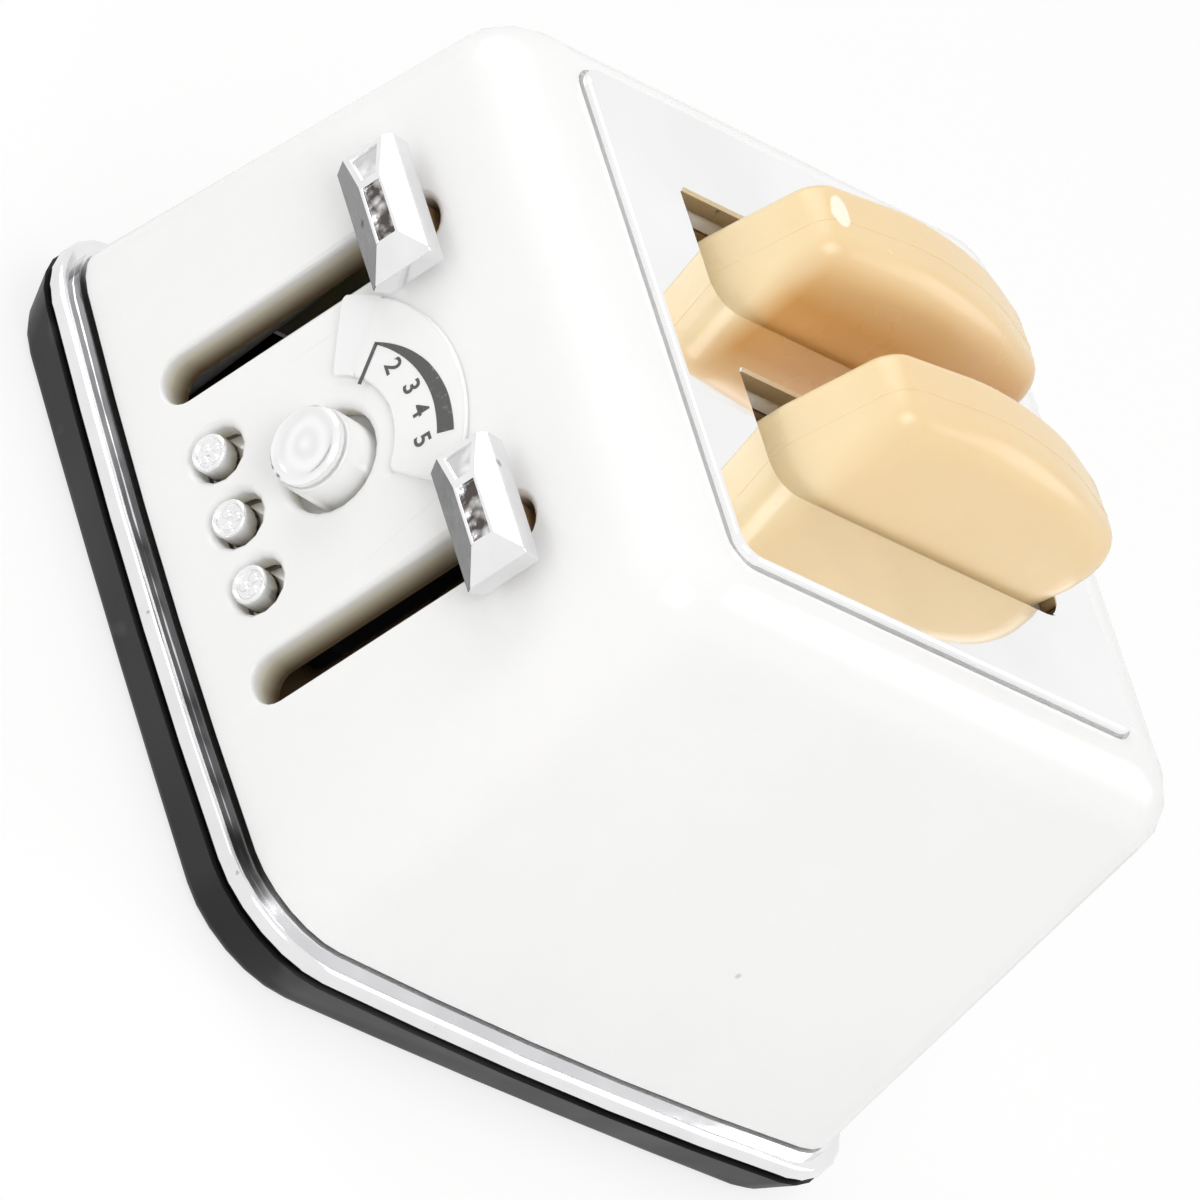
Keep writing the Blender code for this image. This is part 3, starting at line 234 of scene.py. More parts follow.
# Scattered dots: a share of the cells of a pattern, each with a soft round spot
def makeSpots():
    group, start, end = newGroup("spots", [("cells", 500.0), ("share", 0.1), ("spread", 0.3)], ["mask"])
    place = addPlace(group)
    cells = group.nodes.new("ShaderNodeTexVoronoi")
    group.links.new(place, cells.inputs["Vector"])
    group.links.new(start.outputs["cells"], cells.inputs["Scale"])
    pick = group.nodes.new("ShaderNodeTexWhiteNoise")
    group.links.new(cells.outputs["Position"], pick.inputs["Vector"])
    limit = addMath(group, "SUBTRACT", 1.0, start.outputs["share"])
    chosen = addMath(group, "GREATER_THAN", pick.outputs["Value"], limit)
    core = addMath(group, "MULTIPLY", start.outputs["spread"], 0.5)
    dot = addRange(group, cells.outputs["Distance"], core, start.outputs["spread"], 1.0, 0.0)
    group.links.new(addMath(group, "MULTIPLY", chosen, dot, True), end.inputs["mask"])
    return group


# Skin of a moulding: a faint orange peel and slow waves of tone
def makeMouldSkin():
    group, start, end = newGroup("mouldSkin", [("peelScale", 900.0), ("toneScale", 70.0)], ["height", "tone"])
    place = addPlace(group)
    group.links.new(addNoise(group, place, start.outputs["peelScale"], 1.5), end.inputs["height"])
    group.links.new(addNoise(group, place, start.outputs["toneScale"], 3.0, 0.6), end.inputs["tone"])
    return group


# Hairline scratches, in two crossing directions
def makeHairlines():
    group, start, end = newGroup("hairlines", [("fineness", 500.0), ("limit", 0.70)], ["mask"])
    place = addPlace(group)
    masks = []
    for turn in ((0.1, 0.0, 0.5), (0.0, 0.2, -0.9)):
        along = addStretch(group, place, (1.0, 0.025, 1.0), turn)
        lines = addNoise(group, along, start.outputs["fineness"], 1.0)
        top = addMath(group, "ADD", start.outputs["limit"], 0.05)
        masks.append(addRange(group, lines, start.outputs["limit"], top))
    group.links.new(addMath(group, "MAXIMUM", *masks), end.inputs["mask"])
    return group


spots = makeSpots()
mouldSkin = makeMouldSkin()
hairlines = makeHairlines()


def newMaterial(name, metallic=0.0):
    material = bpy.data.materials.new(name)
    material.use_nodes = True
    tree = material.node_tree
    shader = tree.nodes["Principled BSDF"]
    shader.inputs["Metallic"].default_value = metallic
    return material, tree, shader


# The throat and deep colours are painted shade down the walls of the front openings
whiteShell = {
    "colour": (0.905, 0.905, 0.902), "shade": (0.885, 0.885, 0.880), "speck": (0.62, 0.60, 0.55),
    "throatShade": (0.66, 0.61, 0.48), "deep": (0.16, 0.11, 0.06), "throatShadeReach": (-0.45, -1.2), "deepShadeReach": (-1.1, -2.3),
    "reachAcross": 11.5, "reachUp": 26.3, "reachIn": -4.0,
    "roughness": (0.17, 0.27), "peel": 0.10, "bleed": 0.12, "bleedReach": (1.0, 0.85, 0.6), "bleedScale": 0.8,
}


def makeWhitePlastic(name, settings):
    material, tree, shader = newMaterial(name)
    skin = useGroup(tree, mouldSkin, peelScale=1100.0, toneScale=55.0)
    dirt = useGroup(tree, spots, cells=380.0, share=0.012, spread=0.10)
    tone = addRange(tree, skin["tone"], 0.35, 0.65)
    base = addMix(tree, tone, settings["colour"], settings["shade"])
    base = addMix(tree, dirt["mask"], base, settings["speck"])
    # Painted shade: the colour turns warm grey, then dark brown, down the walls of the openings in the front
    place = addPlace(tree)
    normal = frontFace.to_3x3() @ Vector((0, 0, 1))
    across = tree.nodes.new("ShaderNodeVectorMath")
    across.operation = "DOT_PRODUCT"
    tree.links.new(place, across.inputs[0])
    across.inputs[1].default_value = normal
    height = addMath(tree, "SUBTRACT", across.outputs["Value"], normal.dot(frontFace.translation))
    parts = tree.nodes.new("ShaderNodeSeparateXYZ")
    tree.links.new(place, parts.inputs["Vector"])
    inside = addMath(tree, "LESS_THAN", addMath(tree, "ABSOLUTE", parts.outputs["X"]), settings["reachAcross"] * mm)
    inside = addMath(tree, "MULTIPLY", inside, addMath(tree, "LESS_THAN", parts.outputs["Z"], settings["reachUp"] * mm))
    inside = addMath(tree, "MULTIPLY", inside, addMath(tree, "GREATER_THAN", height, settings["reachIn"] * mm))
    for reach, colour in ((settings["throatShadeReach"], settings["throatShade"]), (settings["deepShadeReach"], settings["deep"])):
        paintedShadeDepth = addRange(tree, height, reach[0] * mm, reach[1] * mm)
        base = addMix(tree, addMath(tree, "MULTIPLY", paintedShadeDepth, inside), base, colour)
    tree.links.new(base, shader.inputs["Base Color"])
    low, high = settings["roughness"]
    tree.links.new(addRange(tree, skin["tone"], 0.3, 0.7, low, high), shader.inputs["Roughness"])
    tree.links.new(addBump(tree, skin["height"], settings["peel"], 0.02), shader.inputs["Normal"])
    shader.inputs["Subsurface Weight"].default_value = settings["bleed"]
    shader.inputs["Subsurface Radius"].default_value = settings["bleedReach"]
    shader.inputs["Subsurface Scale"].default_value = settings["bleedScale"] * mm
    return material


blackTray = {"colour": (0.013, 0.013, 0.014), "worn": (0.022, 0.022, 0.023), "roughness": (0.34, 0.50)}


def makeBlackPlastic(name, settings):
    material, tree, shader = newMaterial(name)
    skin = useGroup(tree, mouldSkin, peelScale=700.0, toneScale=90.0)
    rubs = useGroup(tree, hairlines, fineness=320.0, limit=0.66)
    grain = addNoise(tree, addPlace(tree), 2600.0, 2.0)
    tone = addRange(tree, skin["tone"], 0.3, 0.7)
    base = addMix(tree, tone, settings["colour"], settings["worn"])
    base = addMix(tree, addMath(tree, "MULTIPLY", rubs["mask"], 0.35), base, (0.09, 0.09, 0.09))
    tree.links.new(base, shader.inputs["Base Color"])
    low, high = settings["roughness"]
    tree.links.new(addRange(tree, skin["tone"], 0.3, 0.7, low, high), shader.inputs["Roughness"])
    height = addMath(tree, "ADD", addMath(tree, "MULTIPLY", grain, 0.4), skin["height"])
    tree.links.new(addBump(tree, height, 0.22, 0.015), shader.inputs["Normal"])
    shader.inputs["Specular IOR Level"].default_value = 0.12
    return material


# Plated finishes: the colour of the plating, what shows where it is chipped, and how wavy it lies
def makePlating(name, colour, chip, roughness, specks, waves, waveScale, lines=0.0, darkReflection=None):
    material, tree, shader = newMaterial(name, metallic=1.0)
    wear = useGroup(tree, spots, **specks)
    scratch = useGroup(tree, hairlines, fineness=420.0, limit=0.69)
    slow = addNoise(tree, addPlace(tree), waveScale, 2.0)
    base = addMix(tree, addRange(tree, slow, 0.35, 0.65), colour, tuple(0.94 * part for part in colour))
    base = addMix(tree, wear["mask"], base, chip)
    # Painted reflection: an optional dark band along the front ledge
    if darkReflection:
        parts = tree.nodes.new("ShaderNodeSeparateXYZ")
        tree.links.new(addPlace(tree), parts.inputs["Vector"])
        edge = addMath(tree, "ADD", parts.outputs["Z"], addMath(tree, "MULTIPLY", slow, darkReflection["ragged"] * mm))
        shade = addRange(tree, edge, darkReflection["low"] * mm, (darkReflection["low"] + darkReflection["soft"]) * mm)
        front = addRange(tree, parts.outputs["Y"], darkReflection["front"][0] * mm, darkReflection["front"][1] * mm)
        left = addRange(tree, parts.outputs["X"], darkReflection["right"][0] * mm, darkReflection["right"][1] * mm)
        shade = addMath(tree, "MULTIPLY", addMath(tree, "MULTIPLY", shade, front), left)
        base = addMix(tree, shade, base, darkReflection["colour"])
    tree.links.new(base, shader.inputs["Base Color"])
    rough = addRange(tree, slow, 0.3, 0.7, roughness, roughness * 1.6)
    rough = addMath(tree, "ADD", rough, addMath(tree, "MULTIPLY", wear["mask"], 0.35))
    rough = addMath(tree, "ADD", rough, addMath(tree, "MULTIPLY", scratch["mask"], lines))
    tree.links.new(rough, shader.inputs["Roughness"])
    dents = addMath(tree, "SUBTRACT", slow, addMath(tree, "MULTIPLY", wear["mask"], 0.25))
    tree.links.new(addBump(tree, dents, waves, 0.10), shader.inputs["Normal"])
    return material


# Slices: painted light makes the front end paler, and painted shade browns the left one low on its side, which faces
# its neighbour (places in mm)
breadTan = {
    "colour": (0.835, 0.625, 0.345), "paleAndLit": (0.930, 0.765, 0.480), "creviceShade": (0.600, 0.320, 0.100),
    "litFrontEnd": (-6.2, -7.8), "side": (-3.9, -2.5), "sideTop": (37.0, 33.2), "seam": (0.70, 0.46, 0.24),
    "glareSpot": (-5.35, -5.9, 36.6), "glareSize": (1.05, 0.55, 0.9), "glareColour": (0.97, 0.90, 0.74),
    "roughness": (0.20, 0.30), "bleed": 0.22, "bleedReach": (1.0, 0.55, 0.22), "bleedScale": 1.1,
}


def makeBreadPlastic():
    material, tree, shader = newMaterial("breadTan")
    skin = useGroup(tree, mouldSkin, peelScale=420.0, toneScale=110.0)
    place = addPlace(tree)
    parts = tree.nodes.new("ShaderNodeSeparateXYZ")
    tree.links.new(place, parts.inputs["Vector"])
    x, y, z = (parts.outputs[axis] for axis in "XYZ")
    tone = addRange(tree, skin["tone"], 0.25, 0.75, 0.0, 0.30)
    # Painted light: the front end is coloured paler, as if lit more strongly; the random tone is real
    front = addRange(tree, y, breadTan["litFrontEnd"][0] * mm, breadTan["litFrontEnd"][1] * mm)
    paleAndLit = addMath(tree, "MAXIMUM", tone, addMath(tree, "MULTIPLY", front, 0.75))
    base = addMix(tree, paleAndLit, breadTan["colour"], breadTan["paleAndLit"])
    # Painted shade: the left slice's side is coloured brown low down, between the two slices
    side = addRange(tree, x, breadTan["side"][0] * mm, breadTan["side"][1] * mm)
    side = addMath(tree, "MULTIPLY", side, addMath(tree, "LESS_THAN", x, 0.0))
    low = addRange(tree, z, breadTan["sideTop"][0] * mm, breadTan["sideTop"][1] * mm)
    back = addMath(tree, "SUBTRACT", 1.0, front)
    creviceShadeMask = addMath(tree, "MULTIPLY", addMath(tree, "MULTIPLY", side, low), back)
    base = addMix(tree, creviceShadeMask, base, breadTan["creviceShade"])
    # Painted highlight: a pale glare patch near the left slice's front corner
    offset = addStretch(tree, place, tuple(1 / (part * mm) for part in breadTan["glareSize"]), (0, 0, 0),
                        tuple(-spot / part for spot, part in zip(breadTan["glareSpot"], breadTan["glareSize"])))
    away = tree.nodes.new("ShaderNodeVectorMath")
    away.operation = "LENGTH"
    tree.links.new(offset, away.inputs[0])
    ragged = addMath(tree, "ADD", away.outputs["Value"], addMath(tree, "MULTIPLY", addNoise(tree, place, 900.0, 2.0), 0.5))
    glareSpot = addRange(tree, ragged, 1.15, 1.25, 1.0, 0.0)
    base = addMix(tree, glareSpot, base, breadTan["glareColour"])
    tree.links.new(base, shader.inputs["Base Color"])
    low, high = breadTan["roughness"]
    tree.links.new(addRange(tree, skin["tone"], 0.3, 0.7, low, high), shader.inputs["Roughness"])
    # A film of shrinkage ripples on the left slice's front end
    ripples = addMath(tree, "MULTIPLY", addMath(tree, "MULTIPLY", front, addMath(tree, "LESS_THAN", x, 0.0)),
                      addNoise(tree, place, 1300.0, 2.0))
    height = addMath(tree, "ADD", addMath(tree, "MULTIPLY", skin["height"], 0.15),
                     addMath(tree, "MULTIPLY", ripples, 1.6))
    height = addMath(tree, "ADD", height, addMath(tree, "MULTIPLY", glareSpot, 0.8))
    tree.links.new(addBump(tree, height, 0.30, 0.05), shader.inputs["Normal"])
    shader.inputs["Subsurface Weight"].default_value = breadTan["bleed"]
    shader.inputs["Subsurface Radius"].default_value = breadTan["bleedReach"]
    shader.inputs["Subsurface Scale"].default_value = breadTan["bleedScale"] * mm
    return material


# Painted shade: the inner parts are coloured dark brown, standing in for the shade inside the wells; the dust specks
# are real
def makeBrownPlastic():
    material, tree, shader = newMaterial("innerBrown")
    skin = useGroup(tree, mouldSkin, peelScale=800.0, toneScale=110.0)
    dust = useGroup(tree, spots, cells=700.0, share=0.05, spread=0.2)
    base = addMix(tree, addRange(tree, skin["tone"], 0.3, 0.7), (0.30, 0.185, 0.085), (0.40, 0.26, 0.13))
    base = addMix(tree, addMath(tree, "MULTIPLY", dust["mask"], 0.4), base, (0.30, 0.25, 0.20))
    tree.links.new(base, shader.inputs["Base Color"])
    tree.links.new(addRange(tree, skin["tone"], 0.3, 0.7, 0.30, 0.5), shader.inputs["Roughness"])
    tree.links.new(addBump(tree, skin["height"], 0.2, 0.02), shader.inputs["Normal"])
    return material


def makeMachinedSteel(name, colour, roughness):
    material, tree, shader = newMaterial(name, metallic=1.0)
    place = addPlace(tree)
    turning = addNoise(tree, addStretch(tree, place, (0.2, 0.2, 6.0)), 900.0, 2.0)
    stain = addNoise(tree, place, 260.0, 3.0)
    tree.links.new(addMix(tree, stain, colour, tuple(0.75 * part for part in colour)), shader.inputs["Base Color"])
    tree.links.new(addRange(tree, turning, 0.3, 0.7, roughness, roughness + 0.2), shader.inputs["Roughness"])
    tree.links.new(addBump(tree, turning, 0.25, 0.02), shader.inputs["Normal"])
    return material


# Plated button faces and lever windows are crumpled: steep, sharp-edged folds
def makeCrumple(name, colour, darkFoldReflection, scale, strength):
    material, tree, shader = newMaterial(name, metallic=1.0)
    place = addPlace(tree)
    cells = tree.nodes.new("ShaderNodeTexVoronoi")
    cells.feature = "SMOOTH_F1"
    cells.inputs["Scale"].default_value = scale
    cells.inputs["Smoothness"].default_value = 0.35
    tree.links.new(place, cells.inputs["Vector"])
    folds = addNoise(tree, place, scale * 1.3, 2.0)
    height = addMath(tree, "ADD", cells.outputs["Distance"], folds)
    # Painted reflection: the plating colour runs darker in the folds
    tree.links.new(addMix(tree, addRange(tree, height, 0.6, 1.1), colour, darkFoldReflection), shader.inputs["Base Color"])
    tree.links.new(addRange(tree, folds, 0.3, 0.7, 0.08, 0.22), shader.inputs["Roughness"])
    tree.links.new(addBump(tree, height, strength, 0.12), shader.inputs["Normal"])
    return material


# The cap's plating has slow swirls round its middle
def makeCapPlating():
    material, tree, shader = newMaterial("capChrome", metallic=1.0)
    centre = onFront(0, 14.5, 1.9).translation
    place = addPlace(tree)
    shifted = addStretch(tree, place, (1, 1, 1), (0, 0, 0), tuple(-part for part in centre))
    swirl = tree.nodes.new("ShaderNodeTexWave")
    swirl.wave_type = "RINGS"
    swirl.rings_direction = "Y"
    swirl.inputs["Scale"].default_value = 300.0
    swirl.inputs["Distortion"].default_value = 3.5
    swirl.inputs["Detail"].default_value = 1.5
    swirl.inputs["Detail Scale"].default_value = 1.2
    tree.links.new(shifted, swirl.inputs["Vector"])
    tree.links.new(addMix(tree, swirl.outputs["Fac"], (0.95, 0.95, 0.95), (0.86, 0.86, 0.865)),
                   shader.inputs["Base Color"])
    tree.links.new(addRange(tree, swirl.outputs["Fac"], 0.0, 1.0, 0.10, 0.22), shader.inputs["Roughness"])
    tree.links.new(addBump(tree, swirl.outputs["Fac"], 0.35, 0.05), shader.inputs["Normal"])
    return material


def makePrintInk():
    material, tree, shader = newMaterial("dialInk")
    place = addPlace(tree)
    wear = addRange(tree, addNoise(tree, place, 2600.0, 3.0, 0.7), 0.62, 0.72)
    tree.links.new(addMix(tree, wear, (0.085, 0.085, 0.083), (0.22, 0.22, 0.21)), shader.inputs["Base Color"])
    tree.links.new(addRange(tree, wear, 0.0, 1.0, 0.42, 0.6), shader.inputs["Roughness"])
    return material


def makeFloorMaterial():
    material, tree, shader = newMaterial("paleFloor")
    place = addPlace(tree)
    tone = addNoise(tree, place, 14.0, 3.0)
    darker = tuple(0.985 * part for part in floorSheet["colour"])
    tree.links.new(addMix(tree, tone, floorSheet["colour"], darker), shader.inputs["Base Color"])
    shader.inputs["Roughness"].default_value = floorSheet["roughness"]
    path = tree.nodes.new("ShaderNodeLightPath")
    seen = addMath(tree, "MAXIMUM", path.outputs["Is Camera Ray"], path.outputs["Is Glossy Ray"])
    glow = tree.nodes.new("ShaderNodeEmission")
    glow.inputs["Color"].default_value = (1, 1, 1, 1)
    mix = tree.nodes.new("ShaderNodeMixShader")
    tree.links.new(addMath(tree, "MULTIPLY", seen, floorSheet["glow"]), mix.inputs[0])
    tree.links.new(shader.outputs[0], mix.inputs[1])
    tree.links.new(glow.outputs[0], mix.inputs[2])
    tree.links.new(mix.outputs[0], tree.nodes["Material Output"].inputs["Surface"])
    return material


chromeChip = (0.42, 0.42, 0.42)
# Painted reflection: the band's ledge along the front is coloured dark beside the shell (places in mm)
ledgeDarkReflection = {"low": 3.91, "soft": 0.05, "ragged": 0.22, "front": (-20.6, -21.4), "right": (21.0, 19.5),
           "colour": (0.135, 0.135, 0.138)}
materials = {
    "shell_white": makeWhitePlastic("shellWhite", whiteShell),
    "dial_white": makeWhitePlastic("knobWhite", {**whiteShell, "peel": 0.06, "reachAcross": 0.0}),
    "tray_black": makeBlackPlastic("trayBlack", blackTray),
    "bracket_black": makeBlackPlastic("bracketBlack", {**blackTray, "roughness": (0.4, 0.55)}),
    "band_chrome": makePlating("bandChrome", (0.84, 0.84, 0.85), chromeChip, 0.07,
                               {"cells": 1500.0, "share": 0.03, "spread": 0.22}, 0.16, 300.0, 0.08, ledgeDarkReflection),
    "plate_chrome": makePlating("plateChrome", (0.93, 0.93, 0.93), chromeChip, 0.035,
                                {"cells": 800.0, "share": 0.010, "spread": 0.16}, 0.03, 90.0, 0.10),
    "lever_chrome": makePlating("leverChrome", (0.86, 0.86, 0.87), chromeChip, 0.06,
                                {"cells": 900.0, "share": 0.02, "spread": 0.25}, 0.22, 420.0, 0.05),
    "button_chrome": makePlating("buttonChrome", (0.90, 0.90, 0.90), chromeChip, 0.10,
                                 {"cells": 1500.0, "share": 0.02, "spread": 0.25}, 0.25, 900.0, 0.05),
    "dial_chrome": makeCapPlating(),
    "bread_tan": makeBreadPlastic(),
    "inner_brown": makeBrownPlastic(),
    "rod_steel": makeMachinedSteel("rodSteel", (0.62, 0.61, 0.60), 0.18),
    "screw_steel": makeMachinedSteel("screwSteel", (0.52, 0.52, 0.53), 0.28),
}
leverWindow = makeCrumple("leverWindow", (0.74, 0.73, 0.73), (0.10, 0.085, 0.08), 1500.0, 0.9)
leverSlope = makeCrumple("leverSlope", (0.93, 0.93, 0.93), (0.62, 0.62, 0.63), 900.0, 0.4)
# Painted reflection: the levers' downward-facing facets get a dark plating colour
leverUnderDarkReflection = makePlating("leverUnderDarkReflection", (0.22, 0.22, 0.225), (0.10, 0.10, 0.10), 0.12,
                         {"cells": 900.0, "share": 0.05, "spread": 0.30}, 0.30, 500.0, 0.05)
dialInk = makePrintInk()
print("materials ready")

slotOf = {}
for name, node in nodes.items():
    slotOf[name] = node.material_slots[0].material.name.split(".")[0]
    node.material_slots[0].material = materials[slotOf[name]]


def addPiece(name, bm, material, body, smoothDeg=40.0):
    mesh = bpy.data.meshes.new(name)
    bm.to_mesh(mesh)
    bm.free()
    mesh.shade_smooth()
    mesh.set_sharp_from_angle(angle=math.radians(smoothDeg))
    item = bpy.data.objects.new(name, mesh)
    bpy.context.scene.collection.objects.link(item)
    mesh.materials.append(material)
    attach(item, body)
    return item


def weighNormals(item):
    weigh = item.modifiers.new("evenShading", "WEIGHTED_NORMAL")
    weigh.mode = "FACE_AREA"
    weigh.keep_sharp = True
    weigh.weight = 50


def softenEdges(item, width, segments=2):
    soften = item.modifiers.new("softEdges", "BEVEL")
    soften.width = width * mm
    soften.segments = segments
    soften.limit_method = "ANGLE"
    soften.angle_limit = math.radians(42)
    soften.harden_normals = True


# A node's surface with its loose triangles merged, so that its round parts shade smoothly
def refine(name, softWidth=0.0):
    node = nodes[name]
    bm = bmesh.new()
    bm.from_mesh(node.data)
    bmesh.ops.remove_doubles(bm, verts=bm.verts, dist=0.0005 * mm)
    bmesh.ops.dissolve_limit(bm, angle_limit=math.radians(0.5), verts=bm.verts, edges=bm.edges)
    item = addPiece(name + "_skin", bm, materials[slotOf[name]], node["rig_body"])
    if softWidth:
        softenEdges(item, softWidth)
    weighNormals(item)
    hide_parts(name)
    return item


for name in ("housing", "chrome_band", "slot_plate", "base_tray", "inner_frame", "left_carriage",
             "right_carriage", "left_guide_rod", "right_guide_rod", "timer_knob", "timer_knob_cap", "knob_clip",
             "dial_bracket", "left_bracket_screw", "right_bracket_screw", "front_left_base_screw",
             "front_right_base_screw", "rear_left_base_screw", "rear_right_base_screw"):
    refine(name)
print("casing pieces ready")

# Toast slices: the outline's corners (along the slot, over the plate, radius), in mm
slice = {
    "corners": [(-9.5, -10.0, 1.2), (9.9, -10.0, 1.2), (9.9, 1.2, 0.8), (10.3, 3.0, 0.7), (10.1, 5.8, 2.4),
                (0.9, 7.75, 21.0), (-9.0, 5.3, 1.7), (-9.75, -0.8, 4.0)],
    "thickness": 5.1, "innerEdge": 0.8, "outerEdge": 1.8, "endShare": 1.35, "seam": 0.03, "seamWidth": 0.10,
    "place": {"left": (-4.8, 1.1, 30.2), "right": (6.3, 1.1, 31.2)}, "tipDeg": 8.5,
    "cornerSteps": 8, "edgeSteps": 8,
}


def cutCorner(bm, vert, radius, steps):
    first, second = [edge.other_vert(vert).co - vert.co for edge in vert.link_edges]
    offset = radius / math.tan(first.angle(second) / 2)
    bmesh.ops.bevel(bm, geom=[vert], offset=offset, offset_type="OFFSET", segments=steps, profile=0.5,
                    affect="VERTICES", clamp_overlap=False, material=-1)


def extrudeCap(bm, cap, move, scale, centre):
    made = bmesh.ops.extrude_face_region(bm, geom=[cap])["geom"]
    verts = [part for part in made if isinstance(part, bmesh.types.BMVert)]
    face = [part for part in made if isinstance(part, bmesh.types.BMFace)][0]
    bmesh.ops.delete(bm, geom=[cap], context="FACES_ONLY")
    bmesh.ops.translate(bm, vec=Vector((move, 0, 0)), verts=verts)
    toCentre = Matrix.Translation(-centre)
    bmesh.ops.scale(bm, vec=scale, space=toCentre, verts=verts)
    return face


def makeSlice(side):
    bm = bmesh.new()
    corners = [bm.verts.new((0, y * mm, z * mm)) for y, z, radius in slice["corners"]]
    bm.faces.new(corners)
    for vert, (y, z, radius) in zip(corners, slice["corners"]):
        cutCorner(bm, vert, radius * mm, slice["cornerSteps"])
    ys = [vert.co.y for vert in bm.verts]
    zs = [vert.co.z for vert in bm.verts]
    centre = Vector((0, (min(ys) + max(ys)) / 2, (min(zs) + max(zs)) / 2))
    reach = Vector((0, (max(ys) - min(ys)) / 2, (max(zs) - min(zs)) / 2))
    half = slice["thickness"] / 2 * mm
    seam = slice["seam"] * mm
    face = list(bm.faces)[0]
    bmesh.ops.scale(bm, vec=(1, 1 - seam / reach.y, 1 - seam / reach.z), space=Matrix.Translation(-centre),
                    verts=bm.verts)
    ends = [face]
    back = bmesh.ops.duplicate(bm, geom=list(bm.verts) + list(bm.edges) + [face])["geom"]
    ends.append([part for part in back if isinstance(part, bmesh.types.BMFace)][0])
    for sign, cap, edge in ((-1, ends[0], slice["innerEdge"] * mm), (1, ends[1], slice["outerEdge"] * mm)):
        ring = Vector((1, 1, 1))
        # The seam: a fine ridge round the middle of the slice
        for move, grow in ((0.0, seam), (slice["seamWidth"] / 2 * mm, 0.0), (0.02 * mm, -seam)):
            scale = (1, 1 + grow / reach.y, 1 + grow / reach.z)
            cap = extrudeCap(bm, cap, sign * move, scale, centre)
        flat = half - edge - (slice["seamWidth"] / 2 + 0.02) * mm
        cap = extrudeCap(bm, cap, sign * flat, (1, 1, 1), centre)
        steps = slice["edgeSteps"]
        place = 0.0
        inset = 0.0
        for step in range(1, steps + 1):
            angle = math.radians(90) * step / steps
            nextPlace = edge * math.sin(angle)
            nextInset = edge * (1 - math.cos(angle))
            share = slice["endShare"]
            scale = (1, (1 - nextInset * share / reach.y) / (1 - inset * share / reach.y),
                     (1 - nextInset / reach.z) / (1 - inset / reach.z))
            cap = extrudeCap(bm, cap, sign * (nextPlace - place), scale, centre)
            place, inset = nextPlace, nextInset
    bmesh.ops.remove_doubles(bm, verts=bm.verts, dist=0.0005 * mm)
    inner = [face for face in bm.faces if all(abs(vert.co.x) < 0.0001 * mm for vert in face.verts)]
    bmesh.ops.delete(bm, geom=inner, context="FACES_ONLY")
    bmesh.ops.recalc_face_normals(bm, faces=bm.faces)
    place = Matrix.Translation(Vector(slice["place"][side]) * mm)
    tip = Matrix.Rotation(-math.radians(slice["tipDeg"]), 4, "X")
    bmesh.ops.transform(bm, matrix=place @ tip, verts=bm.verts)
    item = addPiece(side + "_slice", bm, materials["bread_tan"], side + "_lever", 50.0)
    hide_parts(side + "_toast")
    return item


for side in ("left", "right"):
    makeSlice(side)
print("slices ready")

# Lever knobs: a bar with a chamfered front, sunk windows on its front and on its left end chamfer, in mm
leverKnob = {
    "length": 7.2, "tall": 3.7, "standoff": 0.8, "deep": 2.1, "topChamfer": 0.9, "lowChamfer": 1.5,
    "backChamfer": 0.4, "topDeep": 1.25, "footDeep": 0.9,
    "ends": {-1: (2.35, 0.50), 1: (1.3, 0.95)},
    "frame": 0.16, "sink": 0.22, "slopeFrame": 0.34, "slopeSink": 0.12, "rest": 22.2, "spacing": 18.2,
}


def cutEnd(bm, point, normal):
    made = bmesh.ops.bisect_plane(bm, geom=list(bm.verts) + list(bm.edges) + list(bm.faces), dist=0.0001 * mm,
                                  plane_co=point, plane_no=normal, clear_outer=True)["geom_cut"]
    bmesh.ops.contextual_create(bm, geom=[part for part in made if isinstance(part, bmesh.types.BMEdge)])


def sinkWindow(bm, face, thickness, sink, index):
    move = -face.normal * sink
    bmesh.ops.inset_individual(bm, faces=[face], thickness=thickness, depth=0.0, use_even_offset=True)
    made = bmesh.ops.extrude_face_region(bm, geom=[face])["geom"]
    verts = [part for part in made if isinstance(part, bmesh.types.BMVert)]
    floor = [part for part in made if isinstance(part, bmesh.types.BMFace)][0]
    bmesh.ops.delete(bm, geom=[face], context="FACES_ONLY")
    bmesh.ops.translate(bm, vec=move, verts=verts)
    floor.material_index = index


